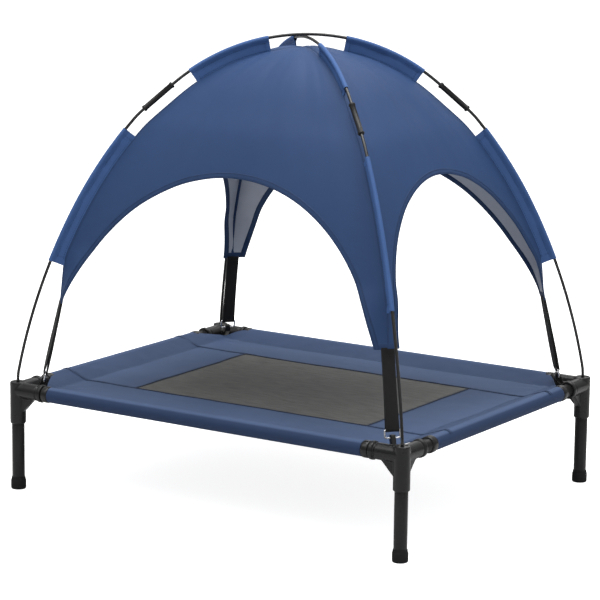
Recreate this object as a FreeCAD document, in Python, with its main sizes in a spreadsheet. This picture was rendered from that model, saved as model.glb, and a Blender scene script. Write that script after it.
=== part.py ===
"""Raised dog bed with a tube frame, a sling and a canopy on two crossed poles.

Frame: millimetres, +Z up, origin on the floor under the middle of the bed.
+X runs along the long side and -Y is the front long side.
"""
import FreeCAD, Part
import Sketcher
import math
import os

from FreeCAD import Placement, Rotation, Vector

doc = FreeCAD.newDocument("dog_bed_with_frame")
sheet = doc.addObject("Spreadsheet::Sheet", "Sheet")

DIMENSIONS = [
    # bed frame
    ("hub_spacing_long", 733),
    ("hub_spacing_short", 583),
    ("tube_diameter", 21),
    ("tube_wall", 1.2),
    ("rail_height", 166.3),
    ("hub_diameter", 26.2),
    ("hub_bottom", 111),
    ("hub_top", 180.4),
    ("leg_socket_top", 148),
    ("leg_tube_bottom", 4),
    ("socket_clearance", 0.1),
    ("arm_length", 43),
    ("arm_groove_end", 46),
    ("arm_flange_end", 54),
    ("arm_groove_diameter", 23.6),
    ("arm_flange_diameter", 29.4),
    ("rail_start", 18),
    ("gusset_reach", 34),
    ("gusset_drop", 35),
    ("gusset_thickness", 9),
    ("pole_socket_diameter", 7),
    ("pole_socket_floor", 150.5),
    ("foot_diameter", 25),
    ("foot_height", 20),
    ("foot_edge", 1.5),
    ("foot_lip_height", 3),
    ("foot_waist", 0.8),
    # collars between the connectors and the fabric
    ("collar_diameter", 27),
    ("collar_edge", 2.5),
    ("collar_start_long", 55),
    ("collar_end_long", 67),
    ("collar_start_short", 73),
    ("collar_end_short", 87),
    # sling
    ("sleeve_diameter", 25.2),
    ("sleeve_bore", 21.4),
    ("sleeve_end_long", 67.5),
    ("sleeve_end_short", 87.5),
    ("sheet_height", 163.4),
    ("sheet_thickness", 1.2),
    ("mesh_half_long", 224),
    ("mesh_half_short", 162),
    ("sheet_gap", 0.4),
    ("strip_root", 11),
    ("strip_shoulder", 16),
    # lugs and strap rings, measured inwards from the hub along the diagonal
    ("lug_thickness", 8),
    ("lug_root_low", 159.3),
    ("lug_root_high", 172.3),
    ("lug_rise_reach", 28),
    ("ring_bottom_reach", 42),
    ("ring_bottom_height", 182.6),
    ("ring_top_reach", 44.5),
    ("ring_top_height", 194.6),
    ("ring_bend", 2.4),
    ("ring_wire", 2.6),
    ("ring_width", 27.4),
    ("lug_hole", 3.6),
    # straps
    ("strap_width", 21.4),
    ("strap_thickness", 1.2),
    ("strap_loop_radius", 1.9),
    ("strap_tip_reach", 71.5),
    ("strap_tip_height", 311),
    # poles
    ("rod_diameter", 5),
    ("pole_apex", 749.9),
    ("pole_step", 5.3),
    ("crown_radius", 331),
    ("crown_turn", 41),
    ("ferrule_length", 62),
    ("ferrule_diameter", 10.6),
    ("ferrule_grip", 28),
    ("elbow_radius", 150),
    ("elbow_turn", 50),
    ("waist_turn", 63),
    ("foot_turn", 79),
    ("heel_radius", 100),
    ("heel_rise", 2),
    ("end_tip_diameter", 6),
    ("end_tip_length", 21),
    ("end_tip_bottom", 157.5),
    ("fit_gap", 0.2),
    # pole sleeves and canopy
    ("fin_thickness", 7),
    ("fin_outer", 3.6),
    ("fin_bore", 5.8),
    ("upper_fin_start_turn", 11),
    ("upper_fin_end_turn", 35),
    ("lower_fin_start_turn", 51.5),
    ("lower_fin_end_turn", 68.5),
    ("fin_root_gap", 2.3),
    ("ridge_step_turn", 6),
    ("ridge_step", 8),
    ("ridge_depth", 16.5),
    ("upper_depth_top_pole", 20.5),
    ("lower_depth_top_pole", 17),
    ("canopy_thickness", 1.6),
    ("tip_reach", 69.5),
    ("tip_height", 314),
    ("tip_share", 0.58),
    ("front_arch_top", 536),
    ("side_arch_top", 541),
    ("tip_width", 22),
]
for row, (alias, number) in enumerate(DIMENSIONS, start=1):
    sheet.set("A%d" % row, alias)
    sheet.set("B%d" % row, str(number))
    sheet.setAlias("B%d" % row, alias)
doc.recompute()

CORNERS = [
    # name, sign of x, sign of y, turn about Z of a connector made with arms along +X and +Y
    ("front_left", -1, -1, 0),
    ("front_right", 1, -1, 90),
    ("rear_right", 1, 1, 180),
    ("rear_left", -1, 1, 270),
]
TOP_POLE_CORNERS = ("front_left", "rear_right")

sub_parts = []


def value(expression):
    """Number that an expression of sheet aliases has now."""
    return float(sheet.evalExpression(expression))


def half_diagonal():
    """Distance from the middle of the bed to a hub's axis."""
    return math.hypot(value("hub_spacing_long"), value("hub_spacing_short")) / 2


def new_body(label):
    """A PartDesign body that is exported as a sub-part."""
    body = doc.addObject("PartDesign::Body", label)
    body.Label = label
    sub_parts.append(body)
    return body


def new_sketch(body, name, plane, lift="0", turn=0.0):
    """Sketch on one of the body's own origin planes, lifted along the plane's normal."""
    sketch = body.newObject("Sketcher::SketchObject", name)
    support = [f for f in body.Origin.OriginFeatures if f.Role == plane][0]
    sketch.AttachmentSupport = [(support, "")]
    sketch.MapMode = "FlatFace"
    sketch.AttachmentOffset = Placement(Vector(0, 0, 0), Rotation(Vector(0, 1, 0), turn))
    sketch.setExpression("AttachmentOffset.Base.z", in_sheet(lift))
    return sketch


def in_sheet(expression):
    """The same expression with each alias written as a cell of the sheet."""
    words = []
    word = ""
    for letter in expression + " ":
        if letter.isalnum() or letter in "_.":
            word += letter
            continue
        if word and word[0].isalpha() and word not in ("sqrt", "pow", "deg", "cos", "sin"):
            word = "Sheet." + word
        words.append(word + letter)
        word = ""
    return "".join(words).strip()


def bind(sketch, index, expression):
    sketch.setExpression("Constraints[%d]" % index, in_sheet(expression))


def add_point(sketch, geometry, vertex, x, y):
    """Tie a point of a sketch to the origin by two expressions."""
    for kind, expression in (("DistanceX", x), ("DistanceY", y)):
        number = value(expression)
        index = sketch.addConstraint(Sketcher.Constraint(kind, -1, 1, geometry, vertex, number))
        bind(sketch, index, expression)


def add_circle(sketch, radius, x="0", y="0"):
    centre = Vector(value(x), value(y), 0)
    circle = Part.Circle(centre, Vector(0, 0, 1), value(radius))
    geometry = sketch.addGeometry(circle, False)
    index = sketch.addConstraint(Sketcher.Constraint("Radius", geometry, value(radius)))
    bind(sketch, index, radius)
    add_point(sketch, geometry, 3, x, y)


def add_polygon(sketch, corners):
    """Closed outline of straight lines; each corner is a pair of expressions."""
    points = [Vector(value(x), value(y), 0) for x, y in corners]
    first = None
    for number, (start, end) in enumerate(zip(points, points[1:] + points[:1])):
        geometry = sketch.addGeometry(Part.LineSegment(start, end), False)
        first = geometry if first is None else first
        add_point(sketch, geometry, 1, *corners[number])
    count = len(points)
    for number in range(count):
        following = first + (number + 1) % count
        sketch.addConstraint(Sketcher.Constraint("Coincident", first + number, 2, following, 1))


def add_feature(body, kind, name, sketch, length, reverse=False, both=False):
    """Pad or pocket of a sketch; the volume has to grow with a pad and shrink with a pocket."""
    doc.recompute()
    before = body.Shape.Volume if body.Tip else 0.0
    feature = body.newObject("PartDesign::" + kind, name)
    feature.Profile = sketch
    feature.Reversed = reverse
    feature.SideType = "Symmetric" if both else "One side"
    feature.setExpression("Length", in_sheet(length))
    doc.recompute()
    grew = body.Shape.Volume - before
    if (kind == "Pad") != (grew > 0) or abs(grew) < 1e-6:
        raise RuntimeError("%s of %s changed the volume by %.3f" % (name, body.Label, grew))


def place(body, x="0", y="0", z="0", angle=0.0):
    """Put a sub-part at a point given by expressions, turned about Z."""
    body.Placement = Placement(Vector(0, 0, 0), Rotation(Vector(0, 0, 1), angle))
    for axis, expression in (("x", x), ("y", y), ("z", z)):
        body.setExpression("Placement.Base." + axis, in_sheet(expression))


def corner_place(body, sign_x, sign_y, angle=0.0):
    x = "%d * hub_spacing_long / 2" % sign_x
    y = "%d * hub_spacing_short / 2" % sign_y
    place(body, x, y, "0", angle)


def pad_circle(body, name, plane, radius, lift, length, reverse=False):
    sketch = new_sketch(body, name + "_sketch", plane, lift)
    add_circle(sketch, radius, *AXIS_OF_PLANE[plane])
    add_feature(body, "Pad", name, sketch, length, reverse)


def bore_circle(body, name, plane, radius, lift, length, reverse=False):
    sketch = new_sketch(body, name + "_sketch", plane, lift)
    add_circle(sketch, radius, *AXIS_OF_PLANE[plane])
    add_feature(body, "Pocket", name, sketch, length, reverse)


# A rail's axis meets a vertical plane at the rail's height; a leg's axis is the local origin.
AXIS_OF_PLANE = {
    "XY_Plane": ("0", "0"),
    "YZ_Plane": ("0", "rail_height"),
    "XZ_Plane": ("0", "rail_height"),
}


# ---------------------------------------------------------------- corner connectors

def corner_connector(name, sign_x, sign_y, turn):
    """Three-way moulding: hub, two arms with a groove and an end flange, two gussets and a lug."""
    body = new_body("corner_connector_" + name)
    pad_circle(body, "hub", "XY_Plane", "hub_diameter / 2", "hub_bottom", "hub_top - hub_bottom")
    # the normal of YZ_Plane is +X and the normal of XZ_Plane is -Y
    for arm, plane, side in (("arm_x", "YZ_Plane", 1), ("arm_y", "XZ_Plane", -1)):
        back = side < 0
        lift = "%d * " % side
        pad_circle(body, arm, plane, "hub_diameter / 2", "0", "arm_length", back)
        pad_circle(body, arm + "_groove", plane, "arm_groove_diameter / 2",
                   lift + "arm_length", "arm_groove_end - arm_length", back)
        pad_circle(body, arm + "_flange", plane, "arm_flange_diameter / 2",
                   lift + "arm_groove_end", "arm_flange_end - arm_groove_end", back)
    for web, plane in (("gusset_x", "XZ_Plane"), ("gusset_y", "YZ_Plane")):
        sketch = new_sketch(body, web + "_sketch", plane)
        add_polygon(sketch, [
            ("0", "rail_height - gusset_drop"),
            ("hub_diameter / 2", "rail_height - gusset_drop"),
            ("gusset_reach", "rail_height - arm_flange_diameter / 2"),
            ("gusset_reach", "rail_height"),
            ("0", "rail_height"),
        ])
        add_feature(body, "Pad", web, sketch, "gusset_thickness", both=True)
    add_lug(body, sign_x, sign_y, turn)
    bore_circle(body, "leg_socket", "XY_Plane", "tube_diameter / 2 + socket_clearance",
                "hub_bottom", "leg_socket_top - hub_bottom", reverse=True)
    bore_circle(body, "pole_socket", "XY_Plane", "pole_socket_diameter / 2",
                "hub_top", "hub_top - pole_socket_floor")
    bore_circle(body, "rail_socket_x", "YZ_Plane", "tube_diameter / 2 + socket_clearance",
                "arm_flange_end", "arm_flange_end - rail_start")
    bore_circle(body, "rail_socket_y", "XZ_Plane", "tube_diameter / 2 + socket_clearance",
                "-1 * arm_flange_end", "arm_flange_end - rail_start", reverse=True)
    corner_place(body, sign_x, sign_y, turn)


def inward_angle(sign_x, sign_y):
    """Direction, in degrees about Z, from a hub to the middle of the bed."""
    return math.degrees(math.atan2(-sign_y * value("hub_spacing_short"),
                                   -sign_x * value("hub_spacing_long")))


def add_lug(body, sign_x, sign_y, turn):
    """Eye plate between the two arms that holds the strap ring."""
    local_angle = inward_angle(sign_x, sign_y) - turn
    sketch = new_sketch(body, "lug_sketch", "XZ_Plane", "0", local_angle)
    reach = "ring_bottom_reach"
    height = "ring_bottom_height"
    add_polygon(sketch, [
        ("0", "lug_root_low"),
        ("lug_rise_reach", "lug_root_low"),
        (reach + " + lug_hole", height + " - 2 * lug_hole"),
        (reach + " + 1.4 * lug_hole", height + " + 0.8 * lug_hole"),
        (reach + " + 0.6 * lug_hole", height + " + 1.4 * lug_hole"),
        (reach + " - 0.8 * lug_hole", height + " + 1.4 * lug_hole"),
        (reach + " - 2.2 * lug_hole", "lug_root_high"),
        ("0", "lug_root_high"),
    ])
    add_feature(body, "Pad", "lug", sketch, "lug_thickness", both=True)
    hole = new_sketch(body, "lug_hole_sketch", "XZ_Plane", "0", local_angle)
    add_circle(hole, "lug_hole / 2", reach, height)
    add_feature(body, "Pocket", "lug_eye", hole, "2 * lug_thickness", both=True)


# ---------------------------------------------------------------- legs, feet and rails

def leg(name, sign_x, sign_y):
    tube = new_body("leg_tube_" + name)
    pad_circle(tube, "outside", "XY_Plane", "tube_diameter / 2", "leg_tube_bottom",
               "leg_socket_top - leg_tube_bottom - fit_gap")
    bore_circle(tube, "inside", "XY_Plane", "tube_diameter / 2 - tube_wall", "leg_tube_bottom",
                "leg_socket_top - leg_tube_bottom", reverse=True)
    corner_place(tube, sign_x, sign_y)


def foot_cap(name, sign_x, sign_y):
    """Rubber cup on the leg's end, waisted below its top lip and rounded underneath."""
    body = new_body("foot_cap_" + name)
    profile = new_sketch(body, "profile", "XZ_Plane")
    outer = "foot_diameter / 2"
    bore = "tube_diameter / 2 + socket_clearance"
    add_polygon(profile, [
        ("0", "0"),
        (outer + " - foot_edge", "0"),
        (outer, "foot_edge"),
        (outer, "foot_height - foot_lip_height - foot_waist"),
        (outer + " - foot_waist", "foot_height - foot_lip_height"),
        (outer + " - foot_waist", "foot_height"),
        (bore, "foot_height"),
        (bore, "leg_tube_bottom - fit_gap"),
        ("0", "leg_tube_bottom - fit_gap"),
    ])
    cup = body.newObject("PartDesign::Revolution", "cup")
    cup.Profile = profile
    cup.ReferenceAxis = (profile, ["V_Axis"])
    cup.Angle = 360.0
    corner_place(body, sign_x, sign_y)


def rail(name, along_x, sign):
    """Straight tube between two connectors."""
    spacing = "hub_spacing_long" if along_x else "hub_spacing_short"
    body = new_body("rail_tube_" + name)
    plane = "YZ_Plane" if along_x else "XZ_Plane"
    length = spacing + " - 2 * rail_start - 2 * fit_gap"
    for kind, feature, radius in (("Pad", "outside", "tube_diameter / 2"),
                                  ("Pocket", "inside", "tube_diameter / 2 - tube_wall")):
        sketch = new_sketch(body, feature + "_sketch", plane)
        add_circle(sketch, radius, "0", "rail_height")
        add_feature(body, kind, feature, sketch, length, both=True)
    side_place(body, along_x, sign)


def side_place(body, along_x, sign):
    if along_x:
        place(body, "0", "%d * hub_spacing_short / 2" % sign)
    else:
        place(body, "%d * hub_spacing_long / 2" % sign, "0")


def cylinder(name, radius, height):
    thing = doc.addObject("Part::Cylinder", name)
    thing.setExpression("Radius", in_sheet(radius))
    thing.setExpression("Height", in_sheet(height))
    doc.recompute()
    return thing


def rail_collars(name, along_x, sign):
    """Two rounded collars that keep the fabric off the connectors: one group for each rail."""
    word = "long" if along_x else "short"
    half = "hub_spacing_%s / 2" % word
    start = "collar_start_" + word
    end = "collar_end_" + word
    length = end + " - " + start
    edge = value("collar_edge")
    lean = Rotation(Vector(0, 1, 0), 90) if along_x else Rotation(Vector(1, 0, 0), -90)
    rings = []
    for number, low in enumerate(("-1 * (%s) + %s" % (half, start), "%s - %s" % (half, end))):
        tail = "%s_%d" % (name, number)
        outside = cylinder("collar_outside_" + tail, "collar_diameter / 2", length)
        rounded = doc.addObject("Part::Fillet", "collar_rounded_" + tail)
        rounded.Base = outside
        circles = [i + 1 for i, e in enumerate(outside.Shape.Edges) if len(e.Vertexes) == 1]
        rounded.Edges = [(i, edge, edge) for i in circles]
        ring = doc.addObject("Part::Cut", "collar_ring_" + tail)
        ring.Base = rounded
        ring.Tool = cylinder("collar_inside_" + tail,
                             "tube_diameter / 2 + socket_clearance", length)
        ring.Placement = Placement(Vector(0, 0, 0), lean)
        ring.setExpression("Placement.Base." + ("x" if along_x else "y"), in_sheet(low))
        ring.setExpression("Placement.Base.z", in_sheet("rail_height"))
        rings.append(ring)
    pair = doc.addObject("Part::Compound", "rail_collars_" + name)
    pair.Label = "rail_collars_" + name
    pair.Links = rings
    sub_parts.append(pair)
    side_place(pair, along_x, sign)


# ---------------------------------------------------------------- sling

def sling_strip(name, along_x, sign):
    """Sleeve round a rail with the flat strip that runs from it to the mesh panel."""
    body = new_body("sling_strip_" + name)
    plane = "YZ_Plane" if along_x else "XZ_Plane"
    word = "long" if along_x else "short"
    sleeve_length = "hub_spacing_%s - 2 * sleeve_end_%s" % (word, word)
    sketch = new_sketch(body, "sleeve_sketch", plane)
    add_circle(sketch, "sleeve_diameter / 2", "0", "rail_height")
    add_feature(body, "Pad", "sleeve", sketch, sleeve_length, both=True)
    sheet_sketch = new_sketch(body, "strip_sketch", "XY_Plane", "sheet_height")
    across = "hub_spacing_%s / 2" % ("short" if along_x else "long")
    inner = "%d * (%s - mesh_half_%s)" % (-sign, across, "short" if along_x else "long")
    clear = "(sleeve_diameter / 2 + sheet_gap)"
    if along_x:
        reach = "(hub_spacing_long / 2 - %s)" % clear
        root_x = "(hub_spacing_long / 2 - sleeve_end_long)"
        half = [(root_x, "%d * strip_root" % -sign),
                (root_x, "%d * strip_shoulder" % -sign),
                (reach, "%d * sleeve_end_short" % -sign),
                (reach, inner)]
        outline = half + [("-1 * " + x, y) for x, y in reversed(half)]
    else:
        span = "(mesh_half_short - sheet_gap)"
        root = "%d * strip_root" % -sign
        outline = [(root, "-1 * " + span), (root, span), (inner, span), (inner, "-1 * " + span)]
    add_polygon(sheet_sketch, outline)
    add_feature(body, "Pad", "strip", sheet_sketch, "sheet_thickness")
    bore = new_sketch(body, "bore_sketch", plane)
    add_circle(bore, "sleeve_bore / 2", "0", "rail_height")
    add_feature(body, "Pocket", "bore", bore, sleeve_length, both=True)
    side_place(body, along_x, sign)


def sling_mesh_panel():
    body = new_body("sling_mesh_panel")
    sketch = new_sketch(body, "outline", "XY_Plane", "sheet_height")
    x = "(mesh_half_long - sheet_gap)"
    y = "(mesh_half_short - sheet_gap)"
    add_polygon(sketch, [("-1 * " + x, "-1 * " + y), (x, "-1 * " + y), (x, y), ("-1 * " + x, y)])
    add_feature(body, "Pad", "panel", sketch, "sheet_thickness")
    place(body)


# ---------------------------------------------------------------- canopy poles

class PolePath:
    """Half of a pole in its own vertical plane, from the crown down to the corner socket.

    Turn is the angle, in degrees, by which the rod has bent down from level. Two of the
    radii come from the closing condition: the rod has to stand upright over the hub's axis.
    """

    def __init__(self, apex):
        self.apex = apex
        crown = value("crown_radius")
        turns = [value(t) for t in ("crown_turn", "elbow_turn", "waist_turn", "foot_turn")]
        t1, t2, t3, t4 = [math.radians(t) for t in turns]
        start = Vector(crown * math.sin(t1), 0, apex - crown * (1 - math.cos(t1)))
        along = Vector(math.cos(t1), 0, -math.sin(t1))
        ferrule_end = start + along * value("ferrule_length")
        elbow = value("elbow_radius")
        heel = value("heel_radius")
        upright = math.radians(90)
        gap_x = half_diagonal() - ferrule_end.x
        gap_x -= self.run(elbow, t1, t2)[0] + self.run(heel, t4, upright)[0]
        gap_z = ferrule_end.z - value("hub_top + heel_rise - pole_apex") - apex
        gap_z -= self.run(elbow, t1, t2)[1] + self.run(heel, t4, upright)[1]
        a = math.sin(t3) - math.sin(t2)
        b = math.sin(t4) - math.sin(t3)
        c = math.cos(t2) - math.cos(t3)
        d = math.cos(t3) - math.cos(t4)
        shin = (gap_z * a - gap_x * c) / (a * d - b * c)
        thigh = (gap_x - b * shin) / a
        self.arcs = [
            # start turn, end turn, radius, start point
            (0.0, math.degrees(t1), crown, Vector(0, 0, apex)),
        ]
        point = ferrule_end
        for low, high, radius in ((t1, t2, elbow), (t2, t3, thigh), (t3, t4, shin),
                                  (t4, upright, heel)):
            self.arcs.append((math.degrees(low), math.degrees(high), radius, point))
            dx, dz = self.run(radius, low, high)
            point = point + Vector(dx, 0, -dz)
        self.ferrule = (start, ferrule_end)
        self.upright_top = point

    @staticmethod
    def run(radius, low, high):
        """Outward and downward distance covered by an arc between two turns."""
        return (radius * (math.sin(high) - math.sin(low)),
                radius * (math.cos(low) - math.cos(high)))

    def point(self, arc, turn, inset=0.0):
        """Point at a turn of one arc, moved inwards by inset along the arc's radius."""
        low, high, radius, start = arc
        angle = math.radians(low)
        centre = start - Vector(math.sin(angle), 0, math.cos(angle)) * radius
        angle = math.radians(turn)
        return centre + Vector(math.sin(angle), 0, math.cos(angle)) * (radius - inset)

    def arc_edge(self, arc, low, high, inset=0.0):
        middle = (low + high) / 2
        points = [self.point(arc, turn, inset) for turn in (low, middle, high)]
        return Part.Arc(*points).toShape()

    def stretch(self, low, high, inset=0.0):
        """Edges of the path between two turns that lie on the same side of the ferrule."""
        edges = []
        arcs = self.arcs[:1] if high <= self.arcs[0][1] else self.arcs[1:]
        for arc in arcs:
            start = max(low, arc[0])
            end = min(high, arc[1])
            if end - start > 1e-6:
                edges.append(self.arc_edge(arc, start, end, inset))
        return edges


def swept(label, edges, radius):
    """Round bar of one radius swept along tangent edges."""
    wire = Part.Wire(edges)
    first = wire.OrderedEdges[0]
    start = first.valueAt(first.FirstParameter)
    tangent = first.tangentAt(first.FirstParameter)
    section = Part.Wire([Part.Circle(start, tangent, radius).toShape()])
    solid = wire.makePipeShell([section], True, False)
    expected = math.pi * radius ** 2 * wire.Length
    if abs(solid.Volume - expected) > 0.02 * expected:
        raise RuntimeError("%s has volume %.0f instead of %.0f" % (label, solid.Volume, expected))
    return solid


def add_shape(label, shape, angle):
    """A sub-part whose shape is set directly, turned about Z."""
    feature = doc.addObject("Part::Feature", label)
    feature.Label = label
    feature.Shape = shape
    feature.Placement = Placement(Vector(0, 0, 0), Rotation(Vector(0, 0, 1), angle))
    sub_parts.append(feature)
    return feature


def outward_angle(sign_x, sign_y):
    return inward_angle(-sign_x, -sign_y)


def pole_parts(name, sign_x, sign_y, path):
    """Lower rod, ferrule, end tip and the two sleeves of one half of a pole."""
    angle = outward_angle(sign_x, sign_y)
    drop = path.apex - value("pole_apex")
    gap = value("fit_gap")
    grip = value("ferrule_grip")
    radius = value("rod_diameter / 2")
    top, bottom = path.ferrule
    along = (bottom - top).normalize()

    tip_top = value("end_tip_bottom + end_tip_length") + drop
    rod_edges = [Part.LineSegment(bottom - along * grip, bottom).toShape()]
    rod_edges += path.stretch(value("crown_turn"), 90.0)
    rod_foot = Vector(path.upright_top.x, 0, tip_top + gap)
    rod_edges.append(Part.LineSegment(path.upright_top, rod_foot).toShape())
    add_shape("lower_rod_" + name, swept("lower_rod_" + name, rod_edges, radius), angle)

    ferrule = doc.addObject("Part::Cut", "pole_ferrule_" + name)
    ferrule.Label = "pole_ferrule_" + name
    ferrule.Base = cylinder("ferrule_outside_" + name, "ferrule_diameter / 2", "ferrule_length")
    ferrule.Tool = cylinder("ferrule_inside_" + name, "rod_diameter / 2 + fit_gap",
                            "ferrule_length")
    turned = Rotation(Vector(0, 0, 1), angle)
    ferrule.Placement = Placement(turned * top, Rotation(Vector(0, 0, 1), turned * along))
    sub_parts.append(ferrule)

    tip = cylinder("pole_end_tip_" + name, "end_tip_diameter / 2", "end_tip_length")
    sub_parts.append(tip)
    corner_place(tip, sign_x, sign_y)
    step = "0" if name in TOP_POLE_CORNERS else "pole_step"
    tip.setExpression("Placement.Base.z", in_sheet("end_tip_bottom - " + step))

    for part, low, high in (("upper", "upper_fin_start_turn", "upper_fin_end_turn"),
                            ("lower", "lower_fin_start_turn", "lower_fin_end_turn")):
        depth = value(part + "_depth_top_pole" if name in TOP_POLE_CORNERS else "ridge_depth")
        pole_sleeve("pole_sleeve_%s_%s" % (name, part), path, value(low), value(high), depth, angle)


def pole_sleeve(label, path, low, high, depth, angle):
    """Flat fabric fin that stands on the canopy's ridge and carries the rod along its edge."""
    outer = path.stretch(low, high, -value("fin_outer"))
    inner = path.stretch(low, high, depth - value("fin_root_gap"))
    thickness = value("fin_thickness")
    ends = []
    for pick in (0, 1):
        near = Part.Wire(outer).OrderedVertexes[-pick].Point
        far = Part.Wire(inner).OrderedVertexes[-pick].Point
        ends.append(Part.LineSegment(near, far).toShape())
    outline = Part.Wire(Part.__sortEdges__(outer + inner + ends))
    fin = Part.Face(outline).extrude(Vector(0, thickness, 0))
    fin.translate(Vector(0, -thickness / 2, 0))
    channel = swept(label, path.stretch(low - 1, high + 1), value("fin_bore / 2"))
    add_shape(label, fin.cut(channel), angle)


def crown_rod(label, path, angle):
    """Middle length of a pole, from the ferrule on one side to the ferrule on the other."""
    top, bottom = path.ferrule
    along = (bottom - top).normalize()
    grip_end = top + along * value("ferrule_grip")
    half = [Part.LineSegment(grip_end, top).toShape()]
    half.append(path.arc_edge(path.arcs[0], 0.0, path.arcs[0][1]))
    mirrored = [edge.mirror(Vector(0, 0, 0), Vector(1, 0, 0)) for edge in half]
    edges = Part.__sortEdges__(half + mirrored)
    add_shape(label, swept(label, edges, value("rod_diameter / 2")), angle)


# ---------------------------------------------------------------- canopy

def ridge_points(path, depth):
    """Points down the canopy's ridge as (distance from the middle, height).

    They start a little past the middle on the far side, so that the ridge is level there.
    """
    last_turn = value("lower_fin_end_turn") - 1
    step_turn = value("ridge_step_turn")
    points = []
    for low, high, radius, start in path.arcs:
        if low >= last_turn:
            break
        first = low if points else -2 * step_turn
        high = min(high, last_turn)
        steps = math.ceil((high - first) / step_turn)
        for step in range(steps + 1):
            turn = first + (high - first) * step / steps
            point = path.point((low, high, radius, start), turn, depth)
            if not points or math.dist(points[-1], (point.x, point.z)) > value("ridge_step"):
                points.append((point.x, point.z))
    fin_end = points[-1]
    inset = depth - value("ridge_depth")
    tip = (half_diagonal() - value("tip_reach") - inset, value("tip_height"))
    share = value("tip_share")
    points.append((fin_end[0] * (1 - share) + tip[0] * share, (fin_end[1] + tip[1]) / 2))
    points.append(tip)
    return points


def slab_edge(points, share):
    """Smooth ridge line as seen along X, in the YZ plane and on the -Y side."""
    curve = Part.BSplineCurve()
    curve.interpolate(Points=[Vector(0, -distance * share, height)
                              for distance, height in points])
    return curve.toShape()


def canopy_panel(label, path, along_x, arch_top, turn):
    """One of four curved panels with an arched opening.

    The panel is the part of a thin curved slab, level along its length, that lies between
    the upright planes of the two poles, less a prism whose end is the arch.
    """
    outer = ridge_points(path, value("ridge_depth"))
    inner = ridge_points(path, value("ridge_depth + canopy_thickness"))
    reach_long = value("hub_spacing_long")
    reach_short = value("hub_spacing_short")
    span, face = (reach_long, reach_short) if along_x else (reach_short, reach_long)
    share = face / math.hypot(span, face)

    front = slab_edge(outer, share)
    back = slab_edge(inner, share)
    ends = []
    for number in (0, -1):
        ends.append(Part.LineSegment(front.Vertexes[number].Point,
                                     back.Vertexes[number].Point).toShape())
    slab_face = Part.Face(Part.Wire(Part.__sortEdges__([front, back] + ends)))
    slab = slab_face.extrude(Vector(2 * span, 0, 0))
    slab.translate(Vector(-span, 0, 0))

    gap = value("fit_gap")
    corners = [Vector(0, -gap, 0), Vector(-span, -face - gap, 0), Vector(span, -face - gap, 0)]
    wedge = Part.Face(Part.makePolygon(corners + corners[:1])).extrude(Vector(0, 0, path.apex))

    tip_distance, tip_height = outer[-1]
    mouth = tip_distance * span / math.hypot(span, face) - value("tip_width")
    below = Vector(0, 0, -value("tip_width"))
    left = Vector(-mouth, 0, tip_height)
    right = Vector(mouth, 0, tip_height)
    arch = Part.Arc(left, Vector(0, 0, arch_top), right).toShape()
    sill = Part.makePolygon([right, right + below, left + below, left])
    opening = Part.Face(Part.Wire([arch] + sill.Edges)).extrude(Vector(0, -face, 0))

    panel = slab.common(wedge).cut(opening)
    if len(panel.Solids) != 1:
        raise RuntimeError("%s is %d solids" % (label, len(panel.Solids)))
    add_shape(label, panel.Solids[0], turn)


# ---------------------------------------------------------------- straps and rings

def strap(name, sign_x, sign_y):
    """Wide elastic loop from a canopy tip to its ring, seen edge-on in the diagonal plane."""
    body = new_body("elastic_strap_" + name)
    loop = "strap_loop_radius"
    for feature, kind, radius in (("outside", "Pad", loop + " + strap_thickness"),
                                  ("inside", "Pocket", loop)):
        sketch = new_sketch(body, feature + "_sketch", "XZ_Plane")
        shift = "0" if kind == "Pad" else "5 * strap_thickness"
        top_half = "strap_thickness" if kind == "Pad" else "strap_thickness / 4"
        add_loop(sketch, radius, shift, top_half)
        add_feature(body, kind, feature, sketch, "strap_width", both=True)
    corner_place(body, sign_x, sign_y, inward_angle(sign_x, sign_y))


def add_loop(sketch, radius, shift, top_half):
    """Loop outline: half a circle round the ring's bar and two sides that close at the tip."""
    bar = ("ring_top_reach", "ring_top_height")
    tip = ("strap_tip_reach", "strap_tip_height - " + shift)
    add_polygon(sketch, [
        (bar[0] + " - " + in_brackets(radius), bar[1]),
        (bar[0] + " - 0.7 * " + in_brackets(radius), bar[1] + " - 0.7 * " + in_brackets(radius)),
        (bar[0], bar[1] + " - " + in_brackets(radius)),
        (bar[0] + " + 0.7 * " + in_brackets(radius), bar[1] + " - 0.7 * " + in_brackets(radius)),
        (bar[0] + " + " + in_brackets(radius), bar[1]),
        (tip[0] + " + " + top_half, tip[1]),
        (tip[0] + " - " + in_brackets(top_half), tip[1]),
    ])


def in_brackets(expression):
    return "(" + expression + ")"


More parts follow.
